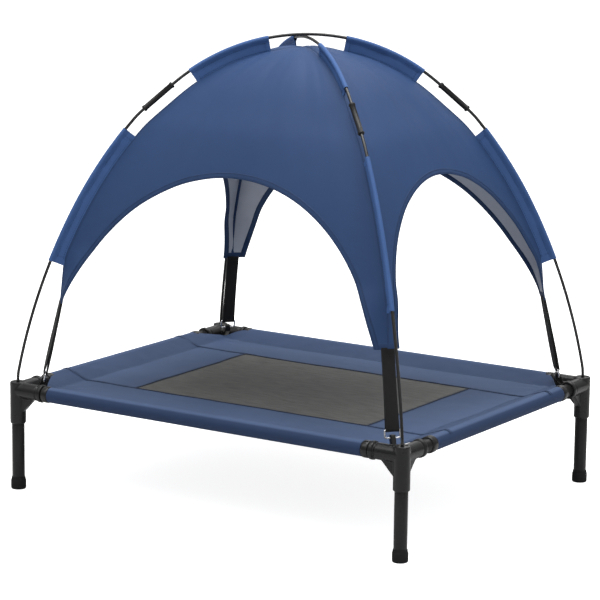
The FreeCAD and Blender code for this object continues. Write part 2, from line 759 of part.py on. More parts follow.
def strap_ring(name, sign_x, sign_y):
    """Rectangular wire ring through the lug's eye and the strap's loop."""
    low = Vector(value("ring_bottom_reach"), 0, value("ring_bottom_height"))
    high = Vector(value("ring_top_reach"), 0, value("ring_top_height"))
    half = value("ring_width / 2 - ring_wire / 2")
    bend = value("ring_bend")
    up = (high - low).normalize()
    side = Vector(0, 1, 0)
    corners = []
    for base, hand, rise in ((low, -1, 1), (low, 1, 1), (high, 1, -1), (high, -1, -1)):
        corners.append((base + side * (hand * half), side * (-hand * bend), up * (rise * bend)))
    slant = 1 - math.sqrt(0.5)
    edges = []
    for number, (corner, to_side, to_up) in enumerate(corners):
        into, away = (to_side, to_up) if number % 2 else (to_up, to_side)
        following, next_side, next_up = corners[(number + 1) % len(corners)]
        next_into = next_up if number % 2 else next_side
        edges.append(Part.LineSegment(corner + away, following + next_into).toShape())
        middle = following + (next_side + next_up) * slant
        next_away = next_side if number % 2 else next_up
        edges.append(Part.Arc(following + next_into, middle, following + next_away).toShape())
    wire = Part.Wire(edges)
    start = edges[0].valueAt(edges[0].FirstParameter)
    tangent = edges[0].tangentAt(edges[0].FirstParameter)
    section = Part.Wire([Part.Circle(start, tangent, value("ring_wire / 2")).toShape()])
    ring = wire.makePipeShell([section], True, False)
    feature = add_shape("strap_ring_" + name, ring, 0)
    corner_place(feature, sign_x, sign_y, inward_angle(sign_x, sign_y))


# ---------------------------------------------------------------- the whole bed

top_path = PolePath(value("pole_apex"))
under_path = PolePath(value("pole_apex - pole_step"))

for name, sign_x, sign_y, turn in CORNERS:
    corner_connector(name, sign_x, sign_y, turn)
    leg(name, sign_x, sign_y)
    foot_cap(name, sign_x, sign_y)
    strap_ring(name, sign_x, sign_y)
    strap(name, sign_x, sign_y)
    pole_parts(name, sign_x, sign_y, top_path if name in TOP_POLE_CORNERS else under_path)

for name, along_x, sign in (("front", True, -1), ("rear", True, 1),
                            ("left", False, -1), ("right", False, 1)):
    rail(name, along_x, sign)
    rail_collars(name, along_x, sign)
    sling_strip(name, along_x, sign)
sling_mesh_panel()

crown_rod("crown_rod_top", top_path, outward_angle(1, 1))
crown_rod("crown_rod_under", under_path, outward_angle(1, -1))

canopy_panel("canopy_panel_front", under_path, True, value("front_arch_top"), 0)
canopy_panel("canopy_panel_rear", under_path, True, value("front_arch_top"), 180)
canopy_panel("canopy_panel_right", under_path, False, value("side_arch_top"), 90)
canopy_panel("canopy_panel_left", under_path, False, value("side_arch_top"), 270)

doc.recompute()
for thing in doc.Objects:
    if "Invalid" in thing.State or "Error" in thing.State:
        raise RuntimeError("%s is in state %s" % (thing.Label, thing.State))
for part in sub_parts:
    if part.Shape.isNull() or not part.Shape.isValid() or not part.Shape.Solids:
        raise RuntimeError("%s has no valid solid" % part.Label)

os.makedirs("parts", exist_ok=True)
for part in sub_parts:
    part.Shape.exportStep("parts/%s.step" % part.Label)
print("%d sub-parts" % len(sub_parts))
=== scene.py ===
import math

import bpy
import numpy as np
from bpy.props import FloatProperty, FloatVectorProperty, PointerProperty
from mathutils import Matrix, Vector, noise


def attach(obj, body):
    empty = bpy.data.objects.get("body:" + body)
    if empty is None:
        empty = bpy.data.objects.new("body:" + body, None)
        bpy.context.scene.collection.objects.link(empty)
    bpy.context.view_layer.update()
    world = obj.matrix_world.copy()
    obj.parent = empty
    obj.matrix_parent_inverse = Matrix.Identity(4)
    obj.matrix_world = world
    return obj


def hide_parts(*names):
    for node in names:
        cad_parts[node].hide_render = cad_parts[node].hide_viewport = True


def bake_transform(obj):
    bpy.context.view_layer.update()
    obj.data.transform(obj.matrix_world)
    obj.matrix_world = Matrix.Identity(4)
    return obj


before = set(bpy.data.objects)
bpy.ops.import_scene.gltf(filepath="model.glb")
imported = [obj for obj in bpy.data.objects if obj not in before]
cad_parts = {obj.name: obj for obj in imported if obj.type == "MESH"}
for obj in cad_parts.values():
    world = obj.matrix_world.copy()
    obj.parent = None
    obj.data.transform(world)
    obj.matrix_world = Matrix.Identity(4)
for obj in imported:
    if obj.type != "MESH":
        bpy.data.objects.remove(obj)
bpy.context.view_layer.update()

bl_info = {
    "name": "Raised Pet Bed with Canopy",
    "version": (1, 0, 0),
    "blender": (4, 5, 0),
    "location": "View3D > Sidebar > Pet Bed",
    "description": "Builds a raised pet bed: tube frame, fabric and mesh sling, crossed poles and canopy",
    "category": "Object",
}

MM = 0.001
CORNERS = {
    "front_left": (-1, -1),
    "front_right": (1, -1),
    "rear_right": (1, 1),
    "rear_left": (-1, 1),
}
TOP_POLE = ("front_left", "rear_right")
# whether a side's rail runs along X, and on which side of the middle it lies
SIDES = {"front": (True, -1), "rear": (True, 1), "left": (False, -1), "right": (False, 1)}
RAIL_TURNS = {True: Matrix.Rotation(math.pi / 2, 4, "Y"),
              False: Matrix.Rotation(-math.pi / 2, 4, "X")}


# ------------------------------------------------------------------ sizes and colours

def length(name, description, millimetres):
    return FloatProperty(name=name, description=description, default=millimetres * MM,
                         unit="LENGTH", subtype="DISTANCE", precision=5)


def angle(name, description, degrees):
    return FloatProperty(name=name, description=description, default=math.radians(degrees),
                         unit="ROTATION", subtype="ANGLE")


def colour(name, description, values):
    return FloatVectorProperty(name=name, description=description, default=values,
                               size=3, min=0.0, max=1.0, subtype="COLOR")


class BedFrameSizes(bpy.types.PropertyGroup):
    """Sizes of the tube frame and its mouldings"""
    half_length: length("Half length", "Middle of the bed to a hub's axis, along X", 366.5)
    half_width: length("Half width", "Middle of the bed to a hub's axis, along Y", 291.5)
    tube_radius: length("Tube radius", "Outside radius of legs and rails", 10.5)
    tube_wall: length("Tube wall", "Wall thickness of legs and rails", 1.2)
    rail_height: length("Rail height", "Height of the rails' axes", 166.3)
    hub_radius: length("Hub radius", "Outside radius of the connector's hub and arms", 13.1)
    hub_bottom: length("Hub bottom", "Height of the hub's lower rim", 111)
    hub_top: length("Hub top", "Height of the hub's top", 180.4)
    leg_top: length("Leg top", "Height of the leg tube's upper end", 147.8)
    arm_length: length("Arm length", "Hub axis to the groove before the arm's flange", 43)
    arm_end: length("Arm end", "Hub axis to the arm's outer face", 54)
    flange_radius: length("Flange radius", "Outside radius of the arm's end flange", 14.7)
    rail_start: length("Rail start", "Hub axis to the rail tube's end", 18.2)
    gusset_reach: length("Gusset reach", "How far a web runs along its arm", 34)
    gusset_drop: length("Gusset drop", "How far a web runs down from the rail's axis", 35)
    gusset_thickness: length("Gusset thickness", "Thickness of a web", 9)
    lug_thickness: length("Lug thickness", "Thickness of the eye plate", 8)
    socket_radius: length("Pole socket radius", "Radius of the socket for a pole's tip", 3.5)
    socket_floor: length("Pole socket floor", "Height of the socket's blind end", 150.5)
    bore_radius: length("Bore radius", "Radius of the bores that take the tubes", 10.7)
    leg_bore_top: length("Leg bore top", "Height of the leg bore's blind end", 148)
    rail_bore_start: length("Rail bore start", "Hub axis to a rail bore's blind end", 18)
    eye_distance: length("Eye distance", "Hub axis to the lug's eye, along the diagonal", 42)
    eye_height: length("Eye height", "Height of the lug's eye", 182.6)
    eye_radius: length("Eye radius", "Radius of the lug's eye", 1.8)
    foot_height: length("Foot height", "Height of the rubber foot", 20)
    foot_radius: length("Foot radius", "Outside radius of the rubber foot", 12.5)
    collar_radius: length("Collar radius", "Outside radius of the rounded collars", 13.5)
    collar_start_long: length("Long collar start", "Hub axis to a collar on a long rail", 55)
    collar_end_long: length("Long collar end", "Hub axis to that collar's far end", 67)
    collar_start_short: length("Short collar start", "Hub axis to a collar on a short rail", 73)
    collar_end_short: length("Short collar end", "Hub axis to that collar's far end", 87)


class SlingSizes(bpy.types.PropertyGroup):
    """Sizes of the sling's cloth"""
    sleeve_radius: length("Sleeve radius", "Middle of the cloth round a rail", 12.05)
    sleeve_end_long: length("Long sleeve end", "Hub axis to the cloth on a long rail", 67.5)
    sleeve_end_short: length("Short sleeve end", "Hub axis to the cloth on a short rail", 87.5)
    top_height: length("Cloth height", "Height of the flat upper layer", 164.2)
    thickness: length("Cloth thickness", "Thickness of one layer", 0.9)
    seam: length("Sleeve seam", "Rail's axis to the line that closes its sleeve", 42)
    mesh_half_length: length("Mesh half length", "Half of the mesh panel along X", 224)
    mesh_half_width: length("Mesh half width", "Half of the mesh panel along Y", 162)
    sag: length("Sag", "How far the mesh hangs in its middle", 1.2)


class CanopySizes(bpy.types.PropertyGroup):
    """Sizes of the crossed poles and the canopy"""
    rod_radius: length("Rod radius", "Radius of the bent rods", 2.5)
    apex: length("Apex", "Height of the upper pole's axis at the crown", 749.9)
    step: length("Crossing step", "How far the lower pole passes under the upper one", 5.3)
    crown_radius: length("Crown radius", "Bend radius over the crown", 331)
    elbow_radius: length("Elbow radius", "Bend radius below the ferrule", 150)
    heel_radius: length("Heel radius", "Bend radius above the socket", 100)
    crown_turn: angle("Crown turn", "Turn where the crown ends", 41)
    elbow_turn: angle("Elbow turn", "Turn where the elbow ends", 50)
    waist_turn: angle("Waist turn", "Turn where the upper side curve ends", 63)
    foot_turn: angle("Foot turn", "Turn where the lower side curve ends", 79)
    ferrule_length: length("Ferrule length", "Length of the joining tube", 62)
    ferrule_radius: length("Ferrule radius", "Radius of the joining tube", 5.3)
    ferrule_grip: length("Ferrule grip", "How deep a rod goes into its ferrule", 28)
    rod_end: length("Rod end", "Height of the upper pole's rod ends, inside their tips", 178.5)
    tip_bottom: length("Tip bottom", "Height of the upper pole's end tips", 157.5)
    tip_length: length("Tip length", "Length of an end tip", 21)
    tip_radius: length("Tip radius", "Outside radius of an end tip", 3)
    ridge_depth: length("Ridge depth", "Pole axis to the canopy's ridge", 16.5)
    tip_reach: length("Tip reach", "Hub axis to the ridge's end, along the diagonal", 69.5)
    tip_height: length("Tip height", "Height of the canopy's corner tips", 314)
    front_arch: length("Long arch top", "Height of the arches on the long sides", 536)
    side_arch: length("Short arch top", "Height of the arches on the short sides", 541)
    thickness: length("Cloth thickness", "Thickness of the coated cloth", 0.8)
    bulge: length("Bulge", "How far a gore stands out between its ridges", 9)
    hem_width: length("Hem width", "Width of the turned hem round the arches", 9)
    strap_width: length("Strap width", "Width of the elastic webbing", 21.4)
    strap_thickness: length("Strap thickness", "Thickness of the elastic webbing", 1.8)
    strap_top_distance: length("Strap top distance", "Hub axis to the strap's upper end", 71.2)
    strap_top_height: length("Strap top height", "Height of the strap's upper end", 316)
    ring_bar_distance: length("Ring bar distance", "Hub axis to the ring's upper bar", 44.5)
    ring_bar_height: length("Ring bar height", "Height of the ring's upper bar", 194.6)
    ring_width: length("Ring width", "Width of the wire ring", 24.8)
    ring_bend: length("Ring bend", "Bend radius of the ring's corners", 2.4)
    wire_radius: length("Wire radius", "Radius of the ring's wire", 1.3)


class BedColours(bpy.types.PropertyGroup):
    """Base colours of the finishes"""
    canopy: colour("Canopy", "Coated canopy cloth", (0.0215, 0.047, 0.119))
    lining: colour("Lining", "Silver-grey coating inside the canopy", (0.36, 0.39, 0.46))
    sling: colour("Sling", "Woven cloth of the bed", (0.047, 0.074, 0.142))
    mesh: colour("Mesh", "Open mesh of the bed", (0.074, 0.0735, 0.069))
    binding: colour("Binding", "Folded seams of the bed", (0.008, 0.012, 0.025))
    moulding: colour("Moulding", "Black moulded parts", (0.0075, 0.0075, 0.0078))
    enamel: colour("Enamel", "Black tube coating", (0.0078, 0.0078, 0.0078))
    rubber: colour("Rubber", "Feet", (0.009, 0.009, 0.0095))
    elastic: colour("Elastic", "Elastic webbing", (0.009, 0.009, 0.0095))
    metal: colour("Metal", "Bright wire and tips", (0.62, 0.62, 0.63))


class StageSizes(bpy.types.PropertyGroup):
    """Camera, floor and light"""
    azimuth: angle("Azimuth", "Camera's angle round the bed", 32.92)
    elevation: angle("Elevation", "Camera's angle above the horizon", 11.18)
    roll: angle("Roll", "Camera's roll", 0.75)
    place: FloatVectorProperty(name="Place", description="Camera's place", size=3,
                               default=(2.46169, -3.81467, 1.21025), subtype="TRANSLATION")
    lens: FloatProperty(name="Lens", description="Focal length on a 36 mm sensor, in mm",
                        default=169.12, min=10.0)
    floor_size: length("Floor size", "Side of the square floor", 24000)
    key_power: FloatProperty(name="Key light", description="Power of the soft light in front",
                             default=50.4, min=0.0, unit="POWER")
    top_power: FloatProperty(name="Top light", description="Power of the soft light overhead",
                             default=174.0, min=0.0, unit="POWER")
    fill_power: FloatProperty(name="Fill light", description="Power of the fill light",
                              default=16.0, min=0.0, unit="POWER")
    sky: FloatProperty(name="Sky", description="Strength of the even surrounding light",
                       default=0.62, min=0.0)


def sizes(group):
    return getattr(bpy.context.scene, "pet_bed_" + group)


# ------------------------------------------------------------------ point helpers

def unit(vectors):
    return vectors / np.linalg.norm(vectors, axis=-1, keepdims=True)


def run_of(points):
    """Distance of each point of a polyline from its first one, along the line."""
    steps = np.linalg.norm(np.diff(points, axis=0), axis=-1)
    return np.concatenate([[0], np.cumsum(steps)])


def resample(points, spacing):
    """Points at an even spacing along a polyline, with their distances."""
    points = np.asarray(points, float)
    run = run_of(points)
    at = np.linspace(0, run[-1], max(2, int(round(run[-1] / spacing)) + 1))
    return np.stack([np.interp(at, run, column) for column in points.T], axis=1), at


def noise_over(across, along, *layers):
    """Noise over places: each layer is its strength, its scale in both ways and its seed."""
    across, along = np.broadcast_arrays(across, along)
    total = [sum(strength * noise.noise(Vector((a * wide, b * deep, seed)))
                 for strength, wide, deep, seed in layers)
             for a, b in zip(across.ravel(), along.ravel())]
    return np.reshape(total, across.shape)


def hub_distance():
    """Middle of the bed to a hub's axis, along the diagonal."""
    b = sizes("frame")
    return math.hypot(b.half_length, b.half_width)


# ------------------------------------------------------------------ object helpers

def deselect():
    bpy.ops.object.select_all(action="DESELECT")


def pick(obj):
    deselect()
    obj.select_set(True)
    bpy.context.view_layer.objects.active = obj
    return obj


def edit(select=True):
    bpy.ops.object.mode_set(mode="EDIT")
    if select:
        bpy.ops.mesh.select_all(action="SELECT")


def leave_edit():
    bpy.ops.object.mode_set(mode="OBJECT")


def settle(obj):
    """Move an object's place, turn and scale into its mesh."""
    pick(obj)
    bpy.ops.object.transform_apply(location=True, rotation=True, scale=True)
    return obj


def modify(obj, kind, **settings):
    """Add a modifier with its settings and apply it."""
    pick(obj)
    modifier = obj.modifiers.new(kind.title(), kind)
    for key, setting in settings.items():
        setattr(modifier, key, setting)
    bpy.ops.object.modifier_apply(modifier=modifier.name)
    return obj


def new_object(name, mesh):
    obj = bpy.data.objects.new(name, mesh)
    bpy.context.scene.collection.objects.link(obj)
    return obj


def discard(*objects):
    for obj in objects:
        bpy.data.objects.remove(obj)


def join(name, objects):
    deselect()
    for obj in objects:
        obj.select_set(True)
    bpy.context.view_layer.objects.active = objects[0]
    if len(objects) > 1:
        bpy.ops.object.join()
    objects[0].name = name
    return objects[0]


def copy_of(obj, name, matrix=None):
    """Copy of an object with its own mesh, moved by a matrix; a mirrored one is turned right."""
    twin = new_object(name, obj.data.copy())
    if matrix is not None:
        twin.data.transform(matrix)
        if matrix.determinant() < 0:
            pick(twin)
            edit()
            bpy.ops.mesh.flip_normals()
            leave_edit()
    return twin


def piece(obj, name, body, finish, stands_for=(), smooth=38):
    """Name a finished piece, give it its finish unless it has one, and let it ride on its body."""
    obj.name = name
    obj.data.name = name
    pick(obj)
    if smooth:
        bpy.ops.object.shade_smooth_by_angle(angle=math.radians(smooth))
    if not obj.data.materials:
        obj.data.materials.append(FINISHES[finish])
    if body:
        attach(obj, body)
    if stands_for:
        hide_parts(*stands_for)
    return obj


def tidy_shell():
    """In edit mode: weld doubles and point all faces outwards."""
    bpy.ops.mesh.select_all(action="SELECT")
    bpy.ops.mesh.remove_doubles(threshold=1e-6)
    bpy.ops.mesh.normals_make_consistent(inside=False)


def drawn(outline):
    """Closed outline of (x, z) pairs in mm, drawn by extruding one vertex; stays in edit mode."""
    points = [Vector((x * MM, 0, z * MM)) for x, z in outline]
    deselect()
    bpy.ops.mesh.primitive_plane_add(size=MM, location=points[0])
    edit()
    bpy.ops.mesh.merge(type="CENTER")
    for here, there in zip(points, points[1:] + points[:1]):
        bpy.ops.mesh.extrude_region_move(TRANSFORM_OT_translate={"value": there - here})
    bpy.ops.mesh.select_all(action="SELECT")
    bpy.ops.mesh.remove_doubles(threshold=1e-6)
    bpy.ops.mesh.select_all(action="SELECT")
    return bpy.context.object


def turned(name, profile, matrix=Matrix.Identity(4), steps=48):
    """Spin a closed profile of (radius, height) pairs in mm round Z, then put it in place."""
    obj = drawn(profile)
    bpy.ops.mesh.spin(steps=steps, angle=2 * math.pi, center=(0, 0, 0), axis=(0, 0, 1))
    tidy_shell()
    leave_edit()
    settle(obj)
    obj.name = name
    obj.data.transform(matrix)
    return obj


def bar(name, start, direction, radius, moves, sides=16, closed=False):
    """Round bar drawn by extruding a circle straight or spinning it round a centre."""
    deselect()
    turn = direction.to_track_quat("Z", "Y").to_euler()
    bpy.ops.mesh.primitive_circle_add(vertices=sides, radius=radius, location=start, rotation=turn)
    obj = bpy.context.object
    edit()
    for move in moves:
        if len(move) == 1:
            bpy.ops.mesh.extrude_region_move(TRANSFORM_OT_translate={"value": move[0]})
        else:
            centre, axis, swing, steps = move
            bpy.ops.mesh.spin(steps=steps, angle=swing, center=centre, axis=axis)
    bpy.ops.mesh.select_all(action="SELECT")
    bpy.ops.mesh.remove_doubles(threshold=1e-6)
    if not closed:
        bpy.ops.mesh.select_all(action="DESELECT")
        bpy.ops.mesh.select_non_manifold()
        bpy.ops.mesh.fill_holes(sides=0)
    tidy_shell()
    leave_edit()
    settle(obj)
    obj.name = name
    return obj


def cloth(name, points, loop=False, uvs=None):
    """Sheet of quads through a grid of points, with a UV map in metres."""
    points = np.asarray(points, float)
    rows, columns = points.shape[:2]
    faces = []
    across = columns if loop else columns - 1
    for i in range(rows - 1):
        for j in range(across):
            k = (j + 1) % columns
            faces.append((i * columns + j, i * columns + k,
                          (i + 1) * columns + k, (i + 1) * columns + j))
    mesh = bpy.data.meshes.new(name)
    mesh.from_pydata(points.reshape(-1, 3).tolist(), [], faces)
    if uvs is None:
        along = np.linalg.norm(np.diff(points, axis=0), axis=2).mean(axis=1)
        over = np.linalg.norm(np.diff(points, axis=1), axis=2).mean(axis=0)
        v = np.concatenate([[0], np.cumsum(along)])
        u = np.concatenate([[0], np.cumsum(over)])
        uvs = np.stack(np.meshgrid(u, v), axis=2)
    flat = np.asarray(uvs, float).reshape(-1, 2)
    layer = mesh.uv_layers.new(name="Weave")
    corners = np.zeros(len(mesh.loops), np.int32)
    mesh.loops.foreach_get("vertex_index", corners)
    layer.data.foreach_set("uv", flat[corners].astype(np.float32).ravel())
    return new_object(name, mesh)


def thicken(obj, thickness, offset=0.0, inner=0):
    return modify(obj, "SOLIDIFY", thickness=thickness, offset=offset, use_even_offset=False,
                  use_quality_normals=True, material_offset=inner, material_offset_rim=0)


def close_ends(obj):
    """Fill the open ends of folded cloth and point its faces outwards."""
    pick(obj)
    edit()
    bpy.ops.mesh.select_all(action="DESELECT")
    bpy.ops.mesh.select_non_manifold()
    bpy.ops.mesh.fill_holes(sides=0)
    tidy_shell()
    leave_edit()
    return obj


def weld(obj, distance=1e-5):
    pick(obj)
    edit()
    bpy.ops.mesh.remove_doubles(threshold=distance)
    bpy.ops.mesh.dissolve_degenerate(threshold=1e-7)
    leave_edit()
    return obj


def stitches(name, lines, pitch=3.6, stitch=2.5, radius=0.24):
    """Rows of sewing thread: each line is (points, outward normals) in metres."""
    sides, rings = 5, 4
    vertices, faces = [], []
    for points, normals in lines:
        both, _ = resample(np.hstack([points, normals]), pitch * MM)
        centres, ups = both[:, :3], both[:, 3:]
        tangents = np.gradient(centres, axis=0)
        for centre, up, tangent in zip(centres, ups, tangents):
            tangent = tangent / max(np.linalg.norm(tangent), 1e-9)
            up = up - tangent * up.dot(tangent)
            up = up / max(np.linalg.norm(up), 1e-9)
            side = np.cross(tangent, up)
            base = len(vertices)
            for ring in range(rings):
                share = ring / (rings - 1) * 2 - 1
                bow = 1 - share * share
                middle = centre + tangent * share * stitch / 2 * MM + up * (bow - 0.35) * radius * MM
                girth = radius * MM * (0.45 + 0.55 * bow)
                for k in range(sides):
                    a = 2 * math.pi * k / sides
                    vertices.append(middle + (side * math.cos(a) + up * math.sin(a)) * girth)
            for ring in range(rings - 1):
                for k in range(sides):
                    a = base + ring * sides + k
                    b = base + ring * sides + (k + 1) % sides
                    faces.append((a, b, b + sides, a + sides))
            faces.append(tuple(base + k for k in reversed(range(sides))))
            faces.append(tuple(base + (rings - 1) * sides + k for k in range(sides)))
    mesh = bpy.data.meshes.new(name)
    mesh.from_pydata([tuple(v) for v in vertices], [], faces)
    return new_object(name, mesh)


# ------------------------------------------------------------------ node groups and finishes

def new_group(name, inputs, outputs):
    """Shader node group with named sockets; returns the tree with its input and output nodes."""
    tree = bpy.data.node_groups.new(name, "ShaderNodeTree")
    for label, kind, default in inputs:
        socket = tree.interface.new_socket(name=label, in_out="INPUT", socket_type=kind)
        if default is not None:
            socket.default_value = default
    for label, kind in outputs:
        tree.interface.new_socket(name=label, in_out="OUTPUT", socket_type=kind)
    return tree, tree.nodes.new("NodeGroupInput"), tree.nodes.new("NodeGroupOutput")


class Nodes:
    """Short hand for adding and linking nodes of one tree."""

    def __init__(self, tree):
        self.tree = tree

    def new(self, kind):
        return self.tree.nodes.new("ShaderNode" + kind)

    def link(self, source, target):
        self.tree.links.new(source, target)

    def feed(self, socket, value):
        if isinstance(value, bpy.types.NodeSocket):
            self.link(value, socket)
        elif value is not None:
            socket.default_value = value

    def maths(self, operation, first, second=None, third=None):
        node = self.new("Math")
        node.operation = operation
        for number, value in enumerate((first, second, third)):
            self.feed(node.inputs[number], value)
        return node.outputs[0]

    def mix(self, factor, first, second):
        node = self.new("Mix")
        node.data_type = "RGBA"
        self.feed(node.inputs["Factor"], factor)
        self.feed(node.inputs["A"], first)
        self.feed(node.inputs["B"], second)
        return node.outputs["Result"]

    def clouds(self, vector, scale, detail=2.0, roughness=0.5):
        node = self.new("TexNoise")
        self.feed(node.inputs["Vector"], vector)
        self.feed(node.inputs["Scale"], scale)
        node.inputs["Detail"].default_value = detail
        node.inputs["Roughness"].default_value = roughness
        return node.outputs["Fac"]

    def spread(self, value, low, high, to_low, to_high):
        node = self.new("MapRange")
        for socket, number in zip(node.inputs[:5], (value, low, high, to_low, to_high)):
            self.feed(socket, number)
        return node.outputs[0]

    def split(self, vector):
        node = self.new("SeparateXYZ")
        self.feed(node.inputs[0], vector)
        return node.outputs

    def stretch(self, vector, scale):
        node = self.new("Mapping")
        self.feed(node.inputs["Vector"], vector)
        node.inputs["Scale"].default_value = scale
        return node.outputs[0]

    def bump(self, height, strength, distance):
        node = self.new("Bump")
        node.inputs["Strength"].default_value = strength
        node.inputs["Distance"].default_value = distance
        self.feed(node.inputs["Height"], height)
        return node.outputs[0]


def weave_group():
    """Plain weave of crossing threads on coordinates in metres."""
    tree, into, out = new_group(
        "Plain weave",
        [("Vector", "NodeSocketVector", None), ("Threads per metre", "NodeSocketFloat", 1400.0)],
        [("Height", "NodeSocketFloat"), ("Gaps", "NodeSocketFloat")])
    n = Nodes(tree)
    x, y, _ = n.split(into.outputs["Vector"])
    waves = []
    for axis in (x, y):
        phase = n.maths("MULTIPLY", n.maths("MULTIPLY", axis, into.outputs["Threads per metre"]),
                        math.pi)
        waves.append(n.maths("SINE", phase))
    crossing = n.maths("MULTIPLY", *waves)
    n.link(n.maths("MULTIPLY_ADD", crossing, 0.5, 0.5), out.inputs["Height"])
    depth = n.maths("MAXIMUM", n.maths("ABSOLUTE", waves[0]), n.maths("ABSOLUTE", waves[1]))
    n.link(n.spread(depth, 0.25, 0.75, 1.0, 0.0), out.inputs["Gaps"])
    return tree


def cloth_shade_group():
    """Slow and fast changes of shade over cloth, with thread slubs along one way."""
    tree, into, out = new_group(
        "Cloth shade",
        [("Object", "NodeSocketVector", None), ("Weave", "NodeSocketVector", None),
         ("Slubs", "NodeSocketFloat", 0.5)],
        [("Shade", "NodeSocketFloat"), ("Slub", "NodeSocketFloat")])
    n = Nodes(tree)
    slow = n.clouds(into.outputs["Object"], 5.0, 3.0)
    fast = n.clouds(into.outputs["Object"], 60.0, 2.0)
    slub = n.clouds(n.stretch(into.outputs["Weave"], (45.0, 900.0, 1.0)), 1.0, 2.0)
    both = n.maths("MULTIPLY_ADD", n.maths("SUBTRACT", slub, 0.5), into.outputs["Slubs"], slow)
    total = n.maths("MULTIPLY_ADD", n.maths("SUBTRACT", fast, 0.5), 0.35, both)
    n.link(n.spread(total, 0.2, 0.8, 0.0, 1.0), out.inputs["Shade"])
    n.link(slub, out.inputs["Slub"])
    return tree


def grain_group():
    """Fine moulded or sprayed grain with a slower gloss change."""
    tree, into, out = new_group(
        "Surface grain",
        [("Object", "NodeSocketVector", None), ("Grain size", "NodeSocketFloat", 1800.0),
         ("Roughest", "NodeSocketFloat", 0.5), ("Smoothest", "NodeSocketFloat", 0.35)],
        [("Height", "NodeSocketFloat"), ("Roughness", "NodeSocketFloat"),
         ("Dust", "NodeSocketFloat")])
    n = Nodes(tree)
    fine = n.clouds(into.outputs["Object"], into.outputs["Grain size"], 3.0, 0.6)
    slow = n.clouds(into.outputs["Object"], 22.0, 4.0)
    n.link(fine, out.inputs["Height"])
    n.link(n.spread(slow, 0.3, 0.7, into.outputs["Smoothest"], into.outputs["Roughest"]),
           out.inputs["Roughness"])
    n.link(n.spread(n.clouds(into.outputs["Object"], 75.0, 4.0, 0.7), 0.5, 0.8, 0.0, 1.0),
           out.inputs["Dust"])
    return tree


def sharp_edge_group():
    """Mask of exposed edges from the mesh's own curvature, broken up by noise."""
    tree, into, out = new_group("Edge rub", [("Object", "NodeSocketVector", None)],
                                [("Edge", "NodeSocketFloat")])
    n = Nodes(tree)
    shape = n.new("NewGeometry")
    edge = n.spread(shape.outputs["Pointiness"], 0.52, 0.6, 0.0, 1.0)
    broken = n.spread(n.clouds(into.outputs["Object"], 260.0, 4.0), 0.35, 0.65, 0.2, 1.0)
    n.link(n.maths("MULTIPLY", edge, broken), out.inputs["Edge"])
    return tree


GROUPS = {}
FINISHES = {}


def grouped(n, name, **feeds):
    if name not in GROUPS:
        maker = {"weave": weave_group, "shade": cloth_shade_group, "grain": grain_group,
                 "sharp_edge": sharp_edge_group}[name]
        GROUPS[name] = maker()
    node = n.new("Group")
    node.node_tree = GROUPS[name]
    for label, value in feeds.items():
        n.feed(node.inputs[label.replace("_", " ")], value)
    return node.outputs


def new_finish(name):
    material = bpy.data.materials.new(name)
    material.use_nodes = True
    n = Nodes(material.node_tree)
    shader = material.node_tree.nodes["Principled BSDF"]
    place = n.new("TexCoord")
    FINISHES[name] = material
    return n, shader, place


def rgba(values, factor=1.0):
    return tuple(min(1.0, v * factor) for v in values) + (1.0,)


def cloth_finish(name, base, threads, contrast, roughness, sheen, bump, slubs=0.5, gaps=0.25,
                 side=0.0):
    n, shader, place = new_finish(name)
    weave = grouped(n, "weave", Vector=place.outputs["UV"], Threads_per_metre=threads)
    shade = grouped(n, "shade", Object=place.outputs["Object"], Weave=place.outputs["UV"],
                    Slubs=slubs)
    tone = n.mix(shade["Shade"], rgba(base, 1 - contrast), rgba(base, 1 + contrast))
    tone = n.mix(n.maths("MULTIPLY", weave["Gaps"], gaps), tone, rgba(base, 0.25))
    # painted shade: by the mesh's shade attribute the colour goes towards a deeper bluish copy of the
    # base, standing in for the weak light on the sling sleeves' steep faces
    if side:
        painted_shade_mask = n.new("Attribute")
        painted_shade_mask.attribute_name = "Side"
        deep = (base[0] * 0.22, base[1] * 0.3, base[2] * 0.42, 1.0)
        tone = n.mix(n.maths("MULTIPLY", painted_shade_mask.outputs["Fac"], side), tone, deep)
    n.link(tone, shader.inputs["Base Color"])
    n.link(n.spread(shade["Slub"], 0.2, 0.8, roughness - 0.06, roughness + 0.06),
           shader.inputs["Roughness"])
    height = n.maths("MULTIPLY_ADD", shade["Slub"], 0.6, weave["Height"])
    n.link(n.bump(height, bump, 0.0003), shader.inputs["Normal"])
    shader.inputs["Specular IOR Level"].default_value = 0.14
    shader.inputs["Sheen Weight"].default_value = sheen
    shader.inputs["Sheen Roughness"].default_value = 0.45
    shader.inputs["Sheen Tint"].default_value = rgba(base, 4.0)


def moulded_finish(name, base, grain, smoothest, roughest, bump, edge=1.8, specular=0.16):
    n, shader, place = new_finish(name)
    surface = grouped(n, "grain", Object=place.outputs["Object"], Grain_size=grain,
                      Roughest=roughest, Smoothest=smoothest)
    sharp_edge_mask = grouped(n, "sharp_edge", Object=place.outputs["Object"])
    tone = n.mix(n.maths("MULTIPLY", surface["Dust"], 0.25), rgba(base), rgba(base, 1.7))
    # lighter colour on sharp convex edges, found from the mesh's pointiness
    tone = n.mix(n.maths("MULTIPLY", sharp_edge_mask["Edge"], 0.6), tone, rgba(base, 1 + edge))
    n.link(tone, shader.inputs["Base Color"])
    n.link(surface["Roughness"], shader.inputs["Roughness"])
    n.link(n.bump(surface["Height"], bump, 0.0002), shader.inputs["Normal"])
    shader.inputs["Specular IOR Level"].default_value = specular


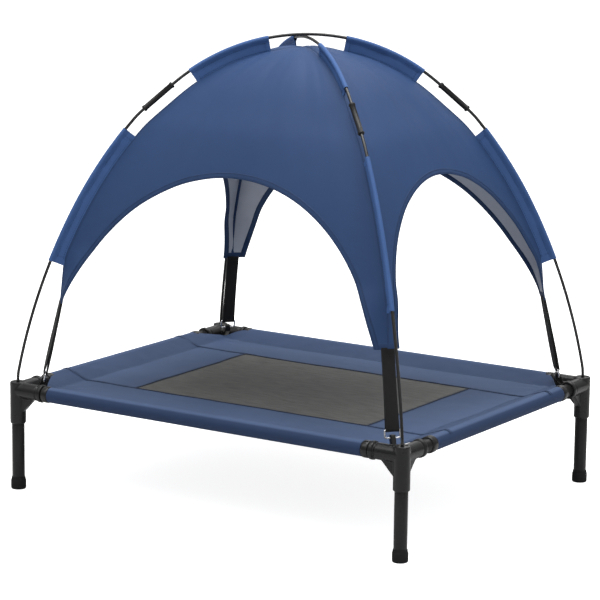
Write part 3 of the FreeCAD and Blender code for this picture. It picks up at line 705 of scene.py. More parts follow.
def metal_finish(name, base, roughness, streak):
    n, shader, place = new_finish(name)
    lines = n.clouds(n.stretch(place.outputs["Object"], streak), 1.0, 3.0, 0.6)
    surface = grouped(n, "grain", Object=place.outputs["Object"], Grain_size=900.0,
                      Roughest=roughness + 0.08, Smoothest=roughness - 0.05)
    n.link(n.mix(lines, rgba(base, 0.82), rgba(base, 1.1)), shader.inputs["Base Color"])
    n.link(surface["Roughness"], shader.inputs["Roughness"])
    n.link(n.bump(lines, 0.08, 0.0001), shader.inputs["Normal"])
    shader.inputs["Metallic"].default_value = 1.0


def mesh_finish(name, base):
    """Coated mesh: round threads with dark openings and long streaks along the threads."""
    n, shader, place = new_finish(name)
    weave = grouped(n, "weave", Vector=place.outputs["UV"], Threads_per_metre=820.0)
    streak = n.clouds(n.stretch(place.outputs["UV"], (26.0, 150.0, 1.0)), 1.0, 6.0, 0.7)
    fleck = n.clouds(n.stretch(place.outputs["UV"], (90.0, 620.0, 1.0)), 1.0, 3.0, 0.65)
    shade = n.maths("MULTIPLY_ADD", n.maths("SUBTRACT", fleck, 0.5), 0.8, streak)
    tone = n.mix(n.spread(shade, 0.3, 0.7, 0.0, 1.0), rgba(base, 0.58), rgba(base, 1.45))
    tone = n.mix(n.maths("MULTIPLY", weave["Gaps"], 0.75), tone, rgba(base, 0.12))
    n.link(tone, shader.inputs["Base Color"])
    n.link(n.spread(fleck, 0.3, 0.7, 0.55, 0.75), shader.inputs["Roughness"])
    n.link(n.bump(weave["Height"], 0.55, 0.0005), shader.inputs["Normal"])
    shader.inputs["Specular IOR Level"].default_value = 0.3


def webbing_finish(name, base):
    """Elastic webbing: cross ribs, fine lengthwise cords and a plain selvedge."""
    n, shader, place = new_finish(name)
    across, along, _ = n.split(place.outputs["UV"])
    ribs = n.maths("SINE", n.maths("MULTIPLY", along, 2 * math.pi * 620.0))
    cords = n.maths("SINE", n.maths("MULTIPLY", across, 2 * math.pi * 900.0))
    height = n.maths("MULTIPLY_ADD", cords, 0.45, ribs)
    fuzz = n.clouds(n.stretch(place.outputs["UV"], (900.0, 260.0, 1.0)), 1.0, 3.0)
    total = n.maths("MULTIPLY_ADD", fuzz, 1.2, height)
    n.link(n.mix(n.spread(total, -1.0, 2.4, 0.0, 1.0), rgba(base, 0.5), rgba(base, 2.1)),
           shader.inputs["Base Color"])
    n.link(n.spread(fuzz, 0.3, 0.7, 0.68, 0.88), shader.inputs["Roughness"])
    n.link(n.bump(height, 0.4, 0.0003), shader.inputs["Normal"])
    shader.inputs["Specular IOR Level"].default_value = 0.12
    shader.inputs["Sheen Weight"].default_value = 0.04


def make_finishes():
    c = sizes("colours")
    # base colour, threads per metre, contrast, roughness, sheen, bump
    cloth_finish("canopy cloth", c.canopy, 1500.0, 0.07, 0.6, 0.03, 0.16)
    # painted light: the fins' sleeve cloth is the canopy cloth made 1.9 times lighter, standing in for
    # the light the thin fins catch
    cloth_finish("sleeve cloth", [v * 1.9 for v in c.canopy], 1500.0, 0.1, 0.6, 0.03, 0.2)
    # painted shade: the hems and ridge seams use the canopy cloth made darker, standing in for the shade
    # in their folds
    cloth_finish("hem cloth", [v * 0.84 for v in c.canopy], 1500.0, 0.12, 0.6, 0.03, 0.22)
    cloth_finish("canopy lining", c.lining, 1500.0, 0.08, 0.42, 0.0, 0.14, gaps=0.1)
    # the sling cloth carries painted shade on its steep sleeve faces (side=0.8)
    cloth_finish("sling cloth", c.sling, 1100.0, 0.12, 0.7, 0.06, 0.3, slubs=0.9, side=0.8)
    cloth_finish("seam binding", c.binding, 1100.0, 0.2, 0.75, 0.1, 0.3)
    cloth_finish("sewing thread", [v * 0.6 for v in c.canopy], 4000.0, 0.2, 0.6, 0.2, 0.2)
    # the seams out to the short rails: sling cloth at 0.42, partly the seam's own darker cloth and partly
    # a painted fold shadow along it
    cloth_finish("seam cloth", [v * 0.42 for v in c.sling], 1100.0, 0.15, 0.75, 0.03, 0.3)
    cloth_finish("bed thread", [v * 0.62 for v in c.sling], 4000.0, 0.2, 0.6, 0.1, 0.2)
    mesh_finish("bed mesh", c.mesh)
    webbing_finish("elastic webbing", c.elastic)
    # base colour, grain size, smoothest and roughest gloss, bump
    moulded_finish("black moulding", c.moulding, 2400.0, 0.24, 0.36, 0.1, specular=0.24)
    moulded_finish("collar moulding", c.moulding, 3000.0, 0.2, 0.32, 0.08, specular=0.26)
    moulded_finish("tube enamel", c.enamel, 1300.0, 0.3, 0.4, 0.1, specular=0.18)
    moulded_finish("foot rubber", c.rubber, 1700.0, 0.62, 0.8, 0.2, edge=1.0, specular=0.12)
    moulded_finish("rod resin", c.enamel, 2600.0, 0.16, 0.26, 0.06, specular=0.4)
    moulded_finish("ferrule enamel", c.enamel, 1500.0, 0.28, 0.4, 0.1, specular=0.2)
    metal_finish("bright wire", c.metal, 0.22, (400.0, 400.0, 400.0))
    metal_finish("tip steel", [v * 0.8 for v in c.metal], 0.34, (900.0, 900.0, 60.0))


# ------------------------------------------------------------------ pole line

class PoleLine:
    """Half of a pole in its upright plane: distance from the middle and height, in metres.

    Turn is the angle by which the rod has bent down from level.
    """

    def __init__(self, apex):
        c, b = sizes("canopy"), sizes("frame")
        self.half = hub_distance()
        t1, t2, t3, t4 = c.crown_turn, c.elbow_turn, c.waist_turn, c.foot_turn
        upright = math.pi / 2
        start = self.run(c.crown_radius, 0, t1)
        self.ferrule_top = np.array([start[0], apex - start[1]])
        self.along = np.array([math.cos(t1), -math.sin(t1)])
        self.ferrule_end = self.ferrule_top + self.along * c.ferrule_length
        elbow, heel = self.run(c.elbow_radius, t1, t2), self.run(c.heel_radius, t4, upright)
        gap_x = self.half - self.ferrule_end[0] - elbow[0] - heel[0]
        gap_z = (self.ferrule_end[1] - b.hub_top - 2 * MM + c.apex - apex
                 - elbow[1] - heel[1])
        p, q = math.sin(t3) - math.sin(t2), math.sin(t4) - math.sin(t3)
        r, s = math.cos(t2) - math.cos(t3), math.cos(t3) - math.cos(t4)
        shin = (gap_z * p - gap_x * r) / (p * s - q * r)
        thigh = (gap_x - q * shin) / p
        self.arcs = [(0.0, t1, c.crown_radius, np.array([0.0, apex - c.crown_radius]))]
        point = self.ferrule_end
        for low, high, radius in ((t1, t2, c.elbow_radius), (t2, t3, thigh), (t3, t4, shin),
                                  (t4, upright, c.heel_radius)):
            centre = point - radius * np.array([math.sin(low), math.cos(low)])
            self.arcs.append((low, high, radius, centre))
            dx, dz = self.run(radius, low, high)
            point = point + np.array([dx, -dz])
        self.foot = point

    @staticmethod
    def run(radius, low, high):
        return (radius * (math.sin(high) - math.sin(low)),
                radius * (math.cos(low) - math.cos(high)))

    def at(self, turn, upper):
        """Point of the line at a turn, on the crown's side of the ferrule or below it."""
        arcs = self.arcs[:1] if upper else self.arcs[1:]
        for _, high, radius, centre in arcs:
            if turn <= high + 1e-9:
                break
        return centre + radius * np.array([math.sin(turn), math.cos(turn)])

    def stretch(self, low, high, upper, inset=0.0, step=0.8):
        """Points, inset towards the canopy, and turns between two turns in degrees."""
        turns = np.radians(np.linspace(low, high, max(2, int(abs(high - low) / step) + 1)))
        points = [self.at(t, upper) - inset * np.array([math.sin(t), math.cos(t)])
                  for t in turns]
        return np.array(points), turns


def corner_directions(corner):
    """Outward direction along the diagonal and the level direction across it."""
    b = sizes("frame")
    x, y = CORNERS[corner]
    out = unit(np.array([x * b.half_length, y * b.half_width, 0.0]))
    return out, np.array([-out[1], out[0], 0.0])


def lifted(out, points):
    """Points of an upright plane as points of space."""
    points = np.asarray(points)
    return points[:, :1] * out + points[:, 1:] * np.array([0.0, 0.0, 1.0])


def pole_for(corner):
    c = sizes("canopy")
    return PoleLine(c.apex if corner in TOP_POLE else c.apex - c.step)


# ------------------------------------------------------------------ frame pieces

class BED_OT_corner_connectors(bpy.types.Operator):
    """Mould the four three-way corner connectors with their eye lugs"""
    bl_idname = "pet_bed.corner_connectors"
    bl_label = "Corner Connectors"

    def execute(self, context):
        b = sizes("frame")
        radius = b.hub_radius / MM
        bottom, top = b.hub_bottom / MM, b.hub_top / MM
        hub = turned("hub", [(0, bottom), (radius - 1.0, bottom), (radius, bottom + 1.0),
                             (radius, top - 0.8), (radius - 0.8, top), (0, top)], steps=64)
        flange = b.flange_radius / MM
        arm, end = b.arm_length / MM, b.arm_end / MM
        profile = [(0, 0), (radius, 0), (radius, arm), (radius - 1.6, arm + 0.6),
                   (radius - 1.6, arm + 3.0), (flange - 0.8, arm + 3.6), (flange, arm + 4.6),
                   (flange, end - 1.2), (flange - 1.2, end), (0, end)]
        level = Matrix.Translation((0, 0, b.rail_height))
        along = [level @ RAIL_TURNS[along_x] for along_x in (True, False)]
        parts = [turned("arm", profile, place, 64) for place in along]
        parts += [self.web(b, False), self.web(b, True), self.lug(b)]
        body = hub
        for part in parts:
            modify(body, "BOOLEAN", operation="UNION", solver="EXACT", object=part)
            discard(part)
        modify(body, "REMESH", mode="VOXEL", voxel_size=0.85 * MM)
        modify(body, "SMOOTH", factor=0.5, iterations=5)
        socket, floor = b.socket_radius / MM, b.socket_floor / MM
        bore, leg_end, rail_end = b.bore_radius / MM, b.leg_bore_top / MM, b.rail_bore_start / MM
        rail_bore = [(0, rail_end), (bore, rail_end), (bore, end + 1), (0, end + 1)]
        cutters = [
            turned("socket", [(0, floor), (socket, floor), (socket, top + 1), (0, top + 1)],
                   steps=32),
            turned("dish", [(0, top - 0.9), (8.4, top - 0.9), (9.4, top + 0.2), (9.4, top + 1),
                            (0, top + 1)]),
            turned("leg_bore", [(0, bottom - 1), (bore, bottom - 1), (bore, leg_end),
                                (0, leg_end)]),
        ] + [turned("rail_bore", rail_bore, place) for place in along]
        for cutter in cutters:
            modify(body, "BOOLEAN", operation="DIFFERENCE", solver="EXACT", object=cutter)
            discard(cutter)
        weld(body, 2e-5)
        for corner, (x, y) in CORNERS.items():
            move = Matrix.Translation((x * b.half_length, y * b.half_width, 0))
            flip = Matrix.Diagonal((-x, -y, 1, 1))
            made = copy_of(body, corner, move @ flip)
            piece(made, "corner_moulding_" + corner, "frame",
                  "black moulding", ["corner_connector_" + corner], smooth=32)
        discard(body)
        return {"FINISHED"}

    @staticmethod
    def web(b, along_y):
        """Triangular web between the hub and one arm, cut from a block by one slanting plane."""
        reach, drop = b.gusset_reach, b.gusset_drop
        foot = b.hub_radius - 0.6 * MM
        deselect()
        bpy.ops.mesh.primitive_cube_add(size=1, location=(reach / 2, 0, b.rail_height - drop / 2),
                                        scale=(reach, b.gusset_thickness, drop))
        obj = settle(bpy.context.object)
        low = Vector((foot, 0, b.rail_height - drop))
        high = Vector((reach, 0, b.rail_height - b.hub_radius))
        run = high - low
        edit()
        bpy.ops.mesh.bisect(plane_co=low, plane_no=(run.z, 0, -run.x), use_fill=True,
                            clear_outer=True)
        tidy_shell()
        leave_edit()
        if along_y:
            obj.data.transform(Matrix.Rotation(math.pi / 2, 4, "Z"))
        return obj

    @staticmethod
    def lug(b):
        """Eye plate that rises between the arms, bevelled, with the ring's hole."""
        outline = [(0, 159.3), (28, 159.3), (45.6, 175.4), (47, 185.5), (44.2, 187.6),
                   (39.1, 187.6), (34, 172.3), (0, 172.3)]
        diagonal = math.atan2(b.half_width, b.half_length)
        obj = drawn(outline)
        bpy.ops.mesh.edge_face_add()
        bpy.ops.mesh.extrude_region_move(
            TRANSFORM_OT_translate={"value": (0, b.lug_thickness, 0)})
        tidy_shell()
        leave_edit()
        settle(obj)
        obj.data.transform(Matrix.Translation((0, -b.lug_thickness / 2, 0)))
        radius, reach = b.eye_radius / MM, b.lug_thickness / MM
        eye = turned("eye", [(0, -reach), (radius, -reach), (radius, reach), (0, reach)],
                     Matrix.Translation((b.eye_distance, 0, b.eye_height))
                     @ Matrix.Rotation(math.pi / 2, 4, "X"), 24)
        modify(obj, "BOOLEAN", operation="DIFFERENCE", solver="EXACT", object=eye)
        discard(eye)
        obj.data.transform(Matrix.Rotation(diagonal, 4, "Z"))
        return obj


class BED_OT_legs(bpy.types.Operator):
    """Turn the leg tubes and their rubber feet"""
    bl_idname = "pet_bed.legs"
    bl_label = "Legs and Feet"

    def execute(self, context):
        b = sizes("frame")
        r, wall, top = b.tube_radius / MM, b.tube_wall / MM, b.leg_top / MM
        tube = turned("leg", [(r - wall, 4), (r - 0.3, 4), (r, 4.4), (r, top - 0.4), (r - 0.3, top),
                              (r - wall, top)], steps=64)
        f, h = b.foot_radius / MM, b.foot_height / MM
        foot = turned("foot", [(0, 0), (f - 4.5, 0), (f - 1.3, 0.35), (f - 0.35, 1.2), (f, 2.8),
                               (f, h - 5.6), (f - 0.15, h - 4.9), (f - 0.75, h - 3.8),
                               (f - 0.95, h - 2.6), (f - 0.95, h - 0.9), (f - 1.25, h - 0.2),
                               (f - 1.7, h), (r + 0.05, h), (r + 0.05, 3.8), (0, 3.8)], steps=64)
        for corner, (x, y) in CORNERS.items():
            move = Matrix.Translation((x * b.half_length, y * b.half_width, 0))
            piece(copy_of(tube, corner, move), "leg_" + corner, "frame",
                  "tube enamel", ["leg_tube_" + corner])
            piece(copy_of(foot, corner, move), "foot_" + corner, "frame",
                  "foot rubber", ["foot_cap_" + corner])
        discard(tube, foot)
        return {"FINISHED"}


class BED_OT_rails(bpy.types.Operator):
    """Turn the four rail tubes and the rounded collars at their ends"""
    bl_idname = "pet_bed.rails"
    bl_label = "Rails and Collars"

    def execute(self, context):
        b = sizes("frame")
        for along_x, start, end in ((True, b.collar_start_long, b.collar_end_long),
                                    (False, b.collar_start_short, b.collar_end_short)):
            half = b.half_length if along_x else b.half_width
            tube = self.tube(b, half - b.rail_start)
            collar = self.collar(b, (end - start) / 2)
            middle = half - (start + end) / 2
            for side, (runs_along_x, sign) in SIDES.items():
                if runs_along_x != along_x:
                    continue
                shift = (0, sign * b.half_width) if along_x else (sign * b.half_length, 0)
                place = Matrix.Translation((*shift, b.rail_height)) @ RAIL_TURNS[along_x]
                piece(copy_of(tube, side, place), "rail_" + side, "frame",
                      "tube enamel", ["rail_tube_" + side])
                pair = [copy_of(collar, side, place @ Matrix.Translation((0, 0, way * middle)))
                        for way in (-1, 1)]
                piece(join("collars", pair), "collars_" + side, "frame",
                      "collar moulding", ["rail_collars_" + side])
            discard(tube, collar)
        return {"FINISHED"}

    @staticmethod
    def tube(b, half):
        r, inside, end = b.tube_radius / MM, (b.tube_radius - b.tube_wall) / MM, half / MM
        return turned("rail", [(inside, -end), (r - 0.3, -end), (r, -end + 0.4), (r, end - 0.4),
                               (r - 0.3, end), (inside, end)])

    @staticmethod
    def collar(b, half):
        inside, r, end = b.tube_radius / MM + 0.1, b.collar_radius / MM, half / MM
        rounding = [(2.2, 0), (1.1, 0.35), (0.3, 1.3), (0, 2.6)]
        lower = [(inside, -end)] + [(r - inset, rise - end) for inset, rise in rounding]
        return turned("collar", lower + [(w, -h) for w, h in lower[::-1]])


# ------------------------------------------------------------------ poles

class BED_OT_poles(bpy.types.Operator):
    """Bend the rods of both crossed poles and turn their ferrules and end tips"""
    bl_idname = "pet_bed.poles"
    bl_label = "Crossed Poles"

    def execute(self, context):
        c = sizes("canopy")
        up = Vector((0, 0, 1))
        for label, corner in (("top", "rear_right"), ("under", "front_right")):
            line = pole_for(corner)
            out = Vector(corner_directions(corner)[0])
            rising = out * line.along[0] - up * line.along[1]
            falling = out * line.along[0] + up * line.along[1]
            first = -out * line.ferrule_top[0] + up * line.ferrule_top[1] - rising * c.ferrule_grip
            centre = up * line.arcs[0][3][1]
            rod = bar("crown", first, rising, c.rod_radius,
                      [(rising * c.ferrule_grip,), (centre, out.cross(up), 2 * c.crown_turn, 56),
                       (falling * c.ferrule_grip,)])
            piece(rod, "pole_crown_" + label, "canopy", "rod resin",
                  ["crown_rod_" + label])
        ferrule, tip = self.ferrule(c), self.end_tip(c)
        for corner in CORNERS:
            self.lower_half(c, corner, up, ferrule, tip)
        discard(ferrule, tip)
        return {"FINISHED"}

    @staticmethod
    def ferrule(c):
        """Joining tube with a raised bead near each end, from its upper end at the origin."""
        inside, r, end = 2.7, c.ferrule_radius / MM, c.ferrule_length / MM
        lower = [(inside, 0), (r - 0.9, 0), (r - 0.25, 0.5), (r, 1.4), (r, 3.4), (r - 0.75, 4.4)]
        return turned("ferrule", lower + [(w, end - h) for w, h in lower[::-1]], steps=32)

    @staticmethod
    def end_tip(c):
        """Metal tip with a rounded nose, from its lower end at the origin."""
        r, end = c.tip_radius / MM, c.tip_length / MM
        return turned("tip", [(0, 0), (r - 1.1, 0), (r - 0.3, 0.8), (r, 1.8), (r, end - 0.4),
                              (r - 0.4, end), (0, end)], steps=32)

    @staticmethod
    def lower_half(c, corner, up, ferrule, tip):
        line = pole_for(corner)
        out = Vector(corner_directions(corner)[0])
        axis = out.cross(up)

        def in_space(place):
            return out * place[0] + up * place[1]

        along = in_space(line.along)
        drop = 0 if corner in TOP_POLE else c.step
        moves = [(along * c.ferrule_grip,)]
        for low, high, _, centre in line.arcs[1:]:
            steps = max(6, int(math.degrees(high - low) * 0.9))
            moves.append((in_space(centre), axis, high - low, steps))
        moves.append((up * (c.rod_end - drop - line.foot[1]),))
        start = in_space(line.ferrule_end) - along * c.ferrule_grip
        rod = bar("lower", start, along, c.rod_radius, moves)
        piece(rod, "pole_lower_" + corner, "canopy", "rod resin",
              ["lower_rod_" + corner])
        turn = along.to_track_quat("Z", "Y").to_matrix().to_4x4()
        place = Matrix.Translation(in_space(line.ferrule_top)) @ turn
        piece(copy_of(ferrule, corner, place), "ferrule_" + corner, "canopy",
              "ferrule enamel", ["pole_ferrule_" + corner])
        place = Matrix.Translation(out * line.half + up * (c.tip_bottom - drop))
        piece(copy_of(tip, corner, place), "end_tip_" + corner, "canopy",
              "tip steel", ["pole_end_tip_" + corner])


# ------------------------------------------------------------------ canopy

class Ridge:
    """The canopy's ridge line: distance from the middle and height by length along it."""

    def __init__(self):
        c = sizes("canopy")
        line = PoleLine(c.apex - c.step)
        upper, _ = line.stretch(0, 41, True, c.ridge_depth, 1.0)
        lower, _ = line.stretch(41, 67.5, False, c.ridge_depth, 1.0)
        tip = np.array([line.half - c.tip_reach, c.tip_height])
        chord = np.linspace(lower[-1], tip, 24)[1:]
        raw = np.vstack([upper, lower, chord])
        soft, _ = resample(raw, 2 * MM)
        for _ in range(60):
            soft[1:-1] += 0.25 * (soft[2:] - 2 * soft[1:-1] + soft[:-2])
            soft[0] = (0.0, soft[1][1])
            soft[-1] = tip
        self.points, self.length = resample(soft, 1 * MM)
        self.total = self.length[-1]

    def at(self, distance):
        return np.stack([np.interp(distance, self.length, self.points[:, k]) for k in (0, 1)],
                        axis=-1)

    def length_at_height(self, height):
        return np.interp(-np.asarray(height), -self.points[:, 1], self.length)


# points of a gore's hem along half of a corner tab's lower edge
TIP_POINTS = 7


class Gore:
    """One panel of the canopy between two ridges, over an arched opening."""

    def __init__(self, side, ridge):
        b, c = sizes("frame"), sizes("canopy")
        along_x, self.sign = SIDES[side]
        self.along_x, self.ridge, self.side = along_x, ridge, side
        half = hub_distance()
        self.span = (b.half_length if along_x else b.half_width) / half
        self.face = (b.half_width if along_x else b.half_length) / half
        self.arch_top = c.front_arch if along_x else c.side_arch
        self.tip_width = (22 if along_x else 17.5) * MM
        self.hem = self.hem_line()

    def hem_line(self, arch_count=52):
        """The hem from ridge to ridge: share of the width, length down, share at the crown."""
        tip = self.ridge.at(self.ridge.total)
        mouth = tip[0] * self.span - self.tip_width
        rise = self.arch_top - tip[1]
        radius = (mouth ** 2 + rise ** 2) / (2 * rise)
        middle = self.arch_top - radius
        swing = math.atan2(mouth, tip[1] - middle)
        angles = np.linspace(0, swing, arch_count)
        x, z = radius * np.sin(angles), middle + radius * np.cos(angles)
        down = self.ridge.length_at_height(z)
        width = self.ridge.at(down)[:, 0] * self.span
        share = x / width
        last = np.linspace(share[-1], 1, TIP_POINTS + 1)[1:]
        share = np.concatenate([share, last])
        down = np.concatenate([down, np.full(TIP_POINTS, self.ridge.total)])
        line = self.ridge.at(down)
        line[:, 0] *= share * self.span
        run = run_of(line)
        half = np.stack([share, down, run / run[-1]], axis=1)
        other = half[:0:-1] * np.array([-1, 1, -1])
        return np.vstack([other, half])

    def place(self, share, down, out=0.0):
        """Point of the gore at a share of its width and a length down its ridge."""
        c = sizes("canopy")
        share, down = np.broadcast_arrays(np.asarray(share, float), np.asarray(down, float))
        ridge = self.ridge.at(down)
        s, z = ridge[..., 0], ridge[..., 1]
        ahead = self.ridge.at(np.minimum(down + 3 * MM, self.ridge.total))
        behind = self.ridge.at(np.maximum(down - 3 * MM, 0))
        slope = unit(ahead - behind)
        normal_out, normal_up = -slope[..., 1], slope[..., 0] * self.face
        scale = np.sqrt(normal_out ** 2 + normal_up ** 2)
        normal_out, normal_up = normal_out / scale, normal_up / scale
        through = down / self.ridge.total
        dome = np.sin(np.pi * np.clip(through, 0, 1) ** 0.8) ** 0.8
        lift = c.bulge * (1 - share ** 2) * dome + out + self.folds(share, through)
        level = share * s * self.span
        away = s * self.face + lift * normal_out
        height = z + lift * normal_up
        flat = self.flatten(share, s, down)
        level, away = level + flat[0], away + flat[1]
        if self.along_x:
            return np.stack([level, self.sign * away, height], axis=-1)
        return np.stack([self.sign * away, level, height], axis=-1)

    def frame(self, share, down):
        """Point, change with share, change with length, and outward normal of the cloth."""
        point = self.place(share, down)
        more, less = np.minimum(share + 1e-3, 1), np.maximum(share - 1e-3, -1)
        over = (self.place(more, down) - self.place(less, down)) / (more - less)[:, None]
        lower, higher = np.minimum(down + MM, self.ridge.total), down - MM
        along = ((self.place(share, lower) - self.place(share, higher))
                 / (lower - higher)[:, None])
        normal = unit(np.cross(over, along))
        away = np.array([0, self.sign, 0]) if self.along_x else np.array([self.sign, 0, 0])
        return point, over, along, normal * np.sign(normal @ away)[:, None]

    def flatten(self, share, s, down):
        """Near its end the ridge opens out flat across the diagonal, as the strap pulls it."""
        reach, band = 95 * MM, 50 * MM
        open_up = np.clip((down - self.ridge.total + reach) / reach, 0, 1) ** 1.3 * 0.93
        inward = (1 - np.abs(share)) * s * self.span
        cut = np.clip(1.5 - inward / band, 0, 1)
        amount = open_up * cut
        lateral, depth = inward * self.face, inward * self.span
        new_depth = depth * (1 - amount)
        new_lateral = np.sqrt(np.maximum(inward ** 2 - new_depth ** 2, 0))
        move_lateral, move_depth = new_lateral - lateral, depth - new_depth
        level = np.sign(share) * (move_depth * self.span - move_lateral * self.face)
        return level, move_depth * self.face + move_lateral * self.span

    def folds(self, share, through):
        """Small tension folds, strongest near the corner tips and under the ridges' ends."""
        near_tip = np.clip((through - 0.72) / 0.28, 0, 1) ** 1.5
        near_ridge = np.clip((np.abs(share) - 0.55) / 0.45, 0, 1)
        pull = 0.9 * MM * near_tip * near_ridge * np.sin(share * 62.0 + through * 9.0)
        seed = {"front": 0.0, "rear": 7.1, "left": 13.7, "right": 21.3}[self.side]
        soft = noise_over(share, through, (1.0, 2.2, 3.4, seed),
                          (0.35, 7.0, 4.0, seed + 3.0)) * 2.6 * MM
        calm = (1 - np.abs(share) ** 6) * np.clip(through * 5, 0, 1)
        return pull * (1 - np.abs(share) ** 12) + soft * calm


class BED_OT_canopy(bpy.types.Operator):
    """Sew the canopy: one curved shell with four arches, and the turned hems"""
    bl_idname = "pet_bed.canopy"
    bl_label = "Canopy"

    def execute(self, context):
        c = sizes("canopy")
        ridge = Ridge()
        rows = np.linspace(0, 1, 90) ** 0.94
        shells, sewn = [], []
        for side in SIDES:
            gore = Gore(side, ridge)
            at_hem, hem, at_crown = gore.hem.T
            part = rows[:, None]
            down = part * hem
            share = at_crown * (1 - part) + at_hem * part
            grid = gore.place(share, down)
            widths = ridge.at(down)[..., 0] * gore.span * share
            uvs = np.stack([widths, down], axis=2)
            if (gore.sign < 0) == gore.along_x:
                grid, uvs = grid[:, ::-1], uvs[:, ::-1]
            shells.append(cloth("gore_" + side, grid, uvs=uvs))
            sewn += self.hem(c, gore)
        for corner in CORNERS:
            sewn.append(self.ridge_seam(corner, ridge))
        shell = weld(join("canopy_shell", shells), 2e-5)
        for name in ("canopy cloth", "canopy lining"):
            shell.data.materials.append(FINISHES[name])
        thicken(shell, c.thickness, offset=-1.0, inner=1)
        piece(shell, "canopy_shell", "canopy",
              "canopy cloth", ["canopy_panel_" + side for side in SIDES], smooth=50)
        b = sizes("frame")
        spread = 2 * ridge.total / hub_distance()
        return {"FINISHED"}

    @staticmethod
    def ridge_seam(corner, ridge):
        """Narrow felled seam along a ridge, from the crown to the corner's tip."""
        out, across = corner_directions(corner)
        start = np.searchsorted(ridge.length, 16 * MM)
        line = ridge.points[start::4]
        centres = lifted(out, line)
        tangent = unit(np.gradient(line, axis=0))
        outward = lifted(out, np.stack([-tangent[:, 1], tangent[:, 0]], axis=1))
        near_tip = np.clip((line[:, 1] - line[-1, 1]) / (90 * MM), 0.35, 1)[:, None]
        section = [(-3.2, -3.4), (-1.5, -1.0), (-1.2, -0.4), (-0.6, 0.55), (0, 0.75), (0.6, 0.55),
                   (1.2, -0.4), (1.5, -1.0), (3.2, -3.4), (0, -2.6)]
        grid = [centres + across * w * MM + outward * h * MM * (near_tip if h < -2 else 1)
                for w, h in section]
        seam = close_ends(cloth("ridge_seam", np.stack(grid, axis=1), loop=True))
        # its darker cloth is painted shade for the fold along the ridge
        return piece(seam, "ridge_seam_" + corner, "canopy",
                     "hem cloth", smooth=60)

    @staticmethod
    def hem(c, gore):
        """Doubled band along the arch with its two rows of stitching."""
        share, down = gore.hem[:, 0], gore.hem[:, 1]
        keep = slice(TIP_POINTS, -TIP_POINTS)
        share, down = share[keep], down[keep]
        edge, over, along, normal = gore.frame(share, down)
        inward = np.cross(normal, unit(np.gradient(edge, axis=0)))
        above = gore.place(share, down - 4 * MM) - edge
        inward *= np.sign(np.median(np.sum(inward * above, axis=1)))
        # steps in share and in length that move a point one metre inwards over the cloth; the
        # determinant is held up where the two directions almost agree, at the corner's tip
        aa, ab, bb = ((p * q).sum(axis=1) for p, q in ((over, over), (over, along), (along, along)))
        ai, bi = (over * inward).sum(axis=1), (along * inward).sum(axis=1)
        det = np.maximum(aa * bb - ab * ab, 0.04 * aa * bb)
        step_share, step_down = (bb * ai - ab * bi) / det, (aa * bi - ab * ai) / det

        def over_cloth(w, h):
            moved = np.clip(share + step_share * w * MM, -1, 1)
            point, _, _, out = gore.frame(moved, down + step_down * w * MM)
            return point + out * h * MM, out

        # how far across the band, and which way off the cloth's outer face
        width = c.hem_width / MM
        section = [(-0.7, -0.4), (-0.3, 0.35), (0.8, 0.62), (3.0, 0.5), (width - 3, 0.5),
                   (width - 0.8, 0.42), (width, 0.05), (width, -0.85), (width - 0.8, -1.2),
                   (width - 3, -1.5), (3.0, -1.5), (0.8, -1.4), (-0.3, -1.15)]
        grid = np.stack([over_cloth(w, h)[0] for w, h in section], axis=1)
        bands = [cloth("hem", grid, loop=True)]
        arch = gore.hem[len(gore.hem) // 2:-TIP_POINTS]
        for way in (-1, 1):
            rows = []
            for w, h in section:
                at = np.full(TIP_POINTS + 1, gore.ridge.total - max(w, 0) * MM)
                first = np.interp(at[0], arch[:, 1], arch[:, 0])
                across_tab = way * np.linspace(first, 1, TIP_POINTS + 1)
                point, _, _, out = gore.frame(across_tab, at)
                rows.append(point + out * h * MM - np.array([0, 0, min(w, 0) * -MM]))
            bands.append(cloth("tab_hem", np.stack(rows, axis=1), loop=True))
        band = close_ends(join("hem", bands))
        # the hem's darker cloth is painted shade for the fold
        made = piece(band, "canopy_hem_" + gore.side, "canopy",
                     "hem cloth", smooth=60)
        lines = [over_cloth(w, 0.62) for w in (2.0, width - 1.6)]
        inner, out = over_cloth(width - 1.6, -1.5)
        lines.append((inner, -out))
        sewn = piece(stitches("stitch", lines), "hem_stitches_" + gore.side, "canopy",
                     "sewing thread", smooth=0)
        return [made, sewn]


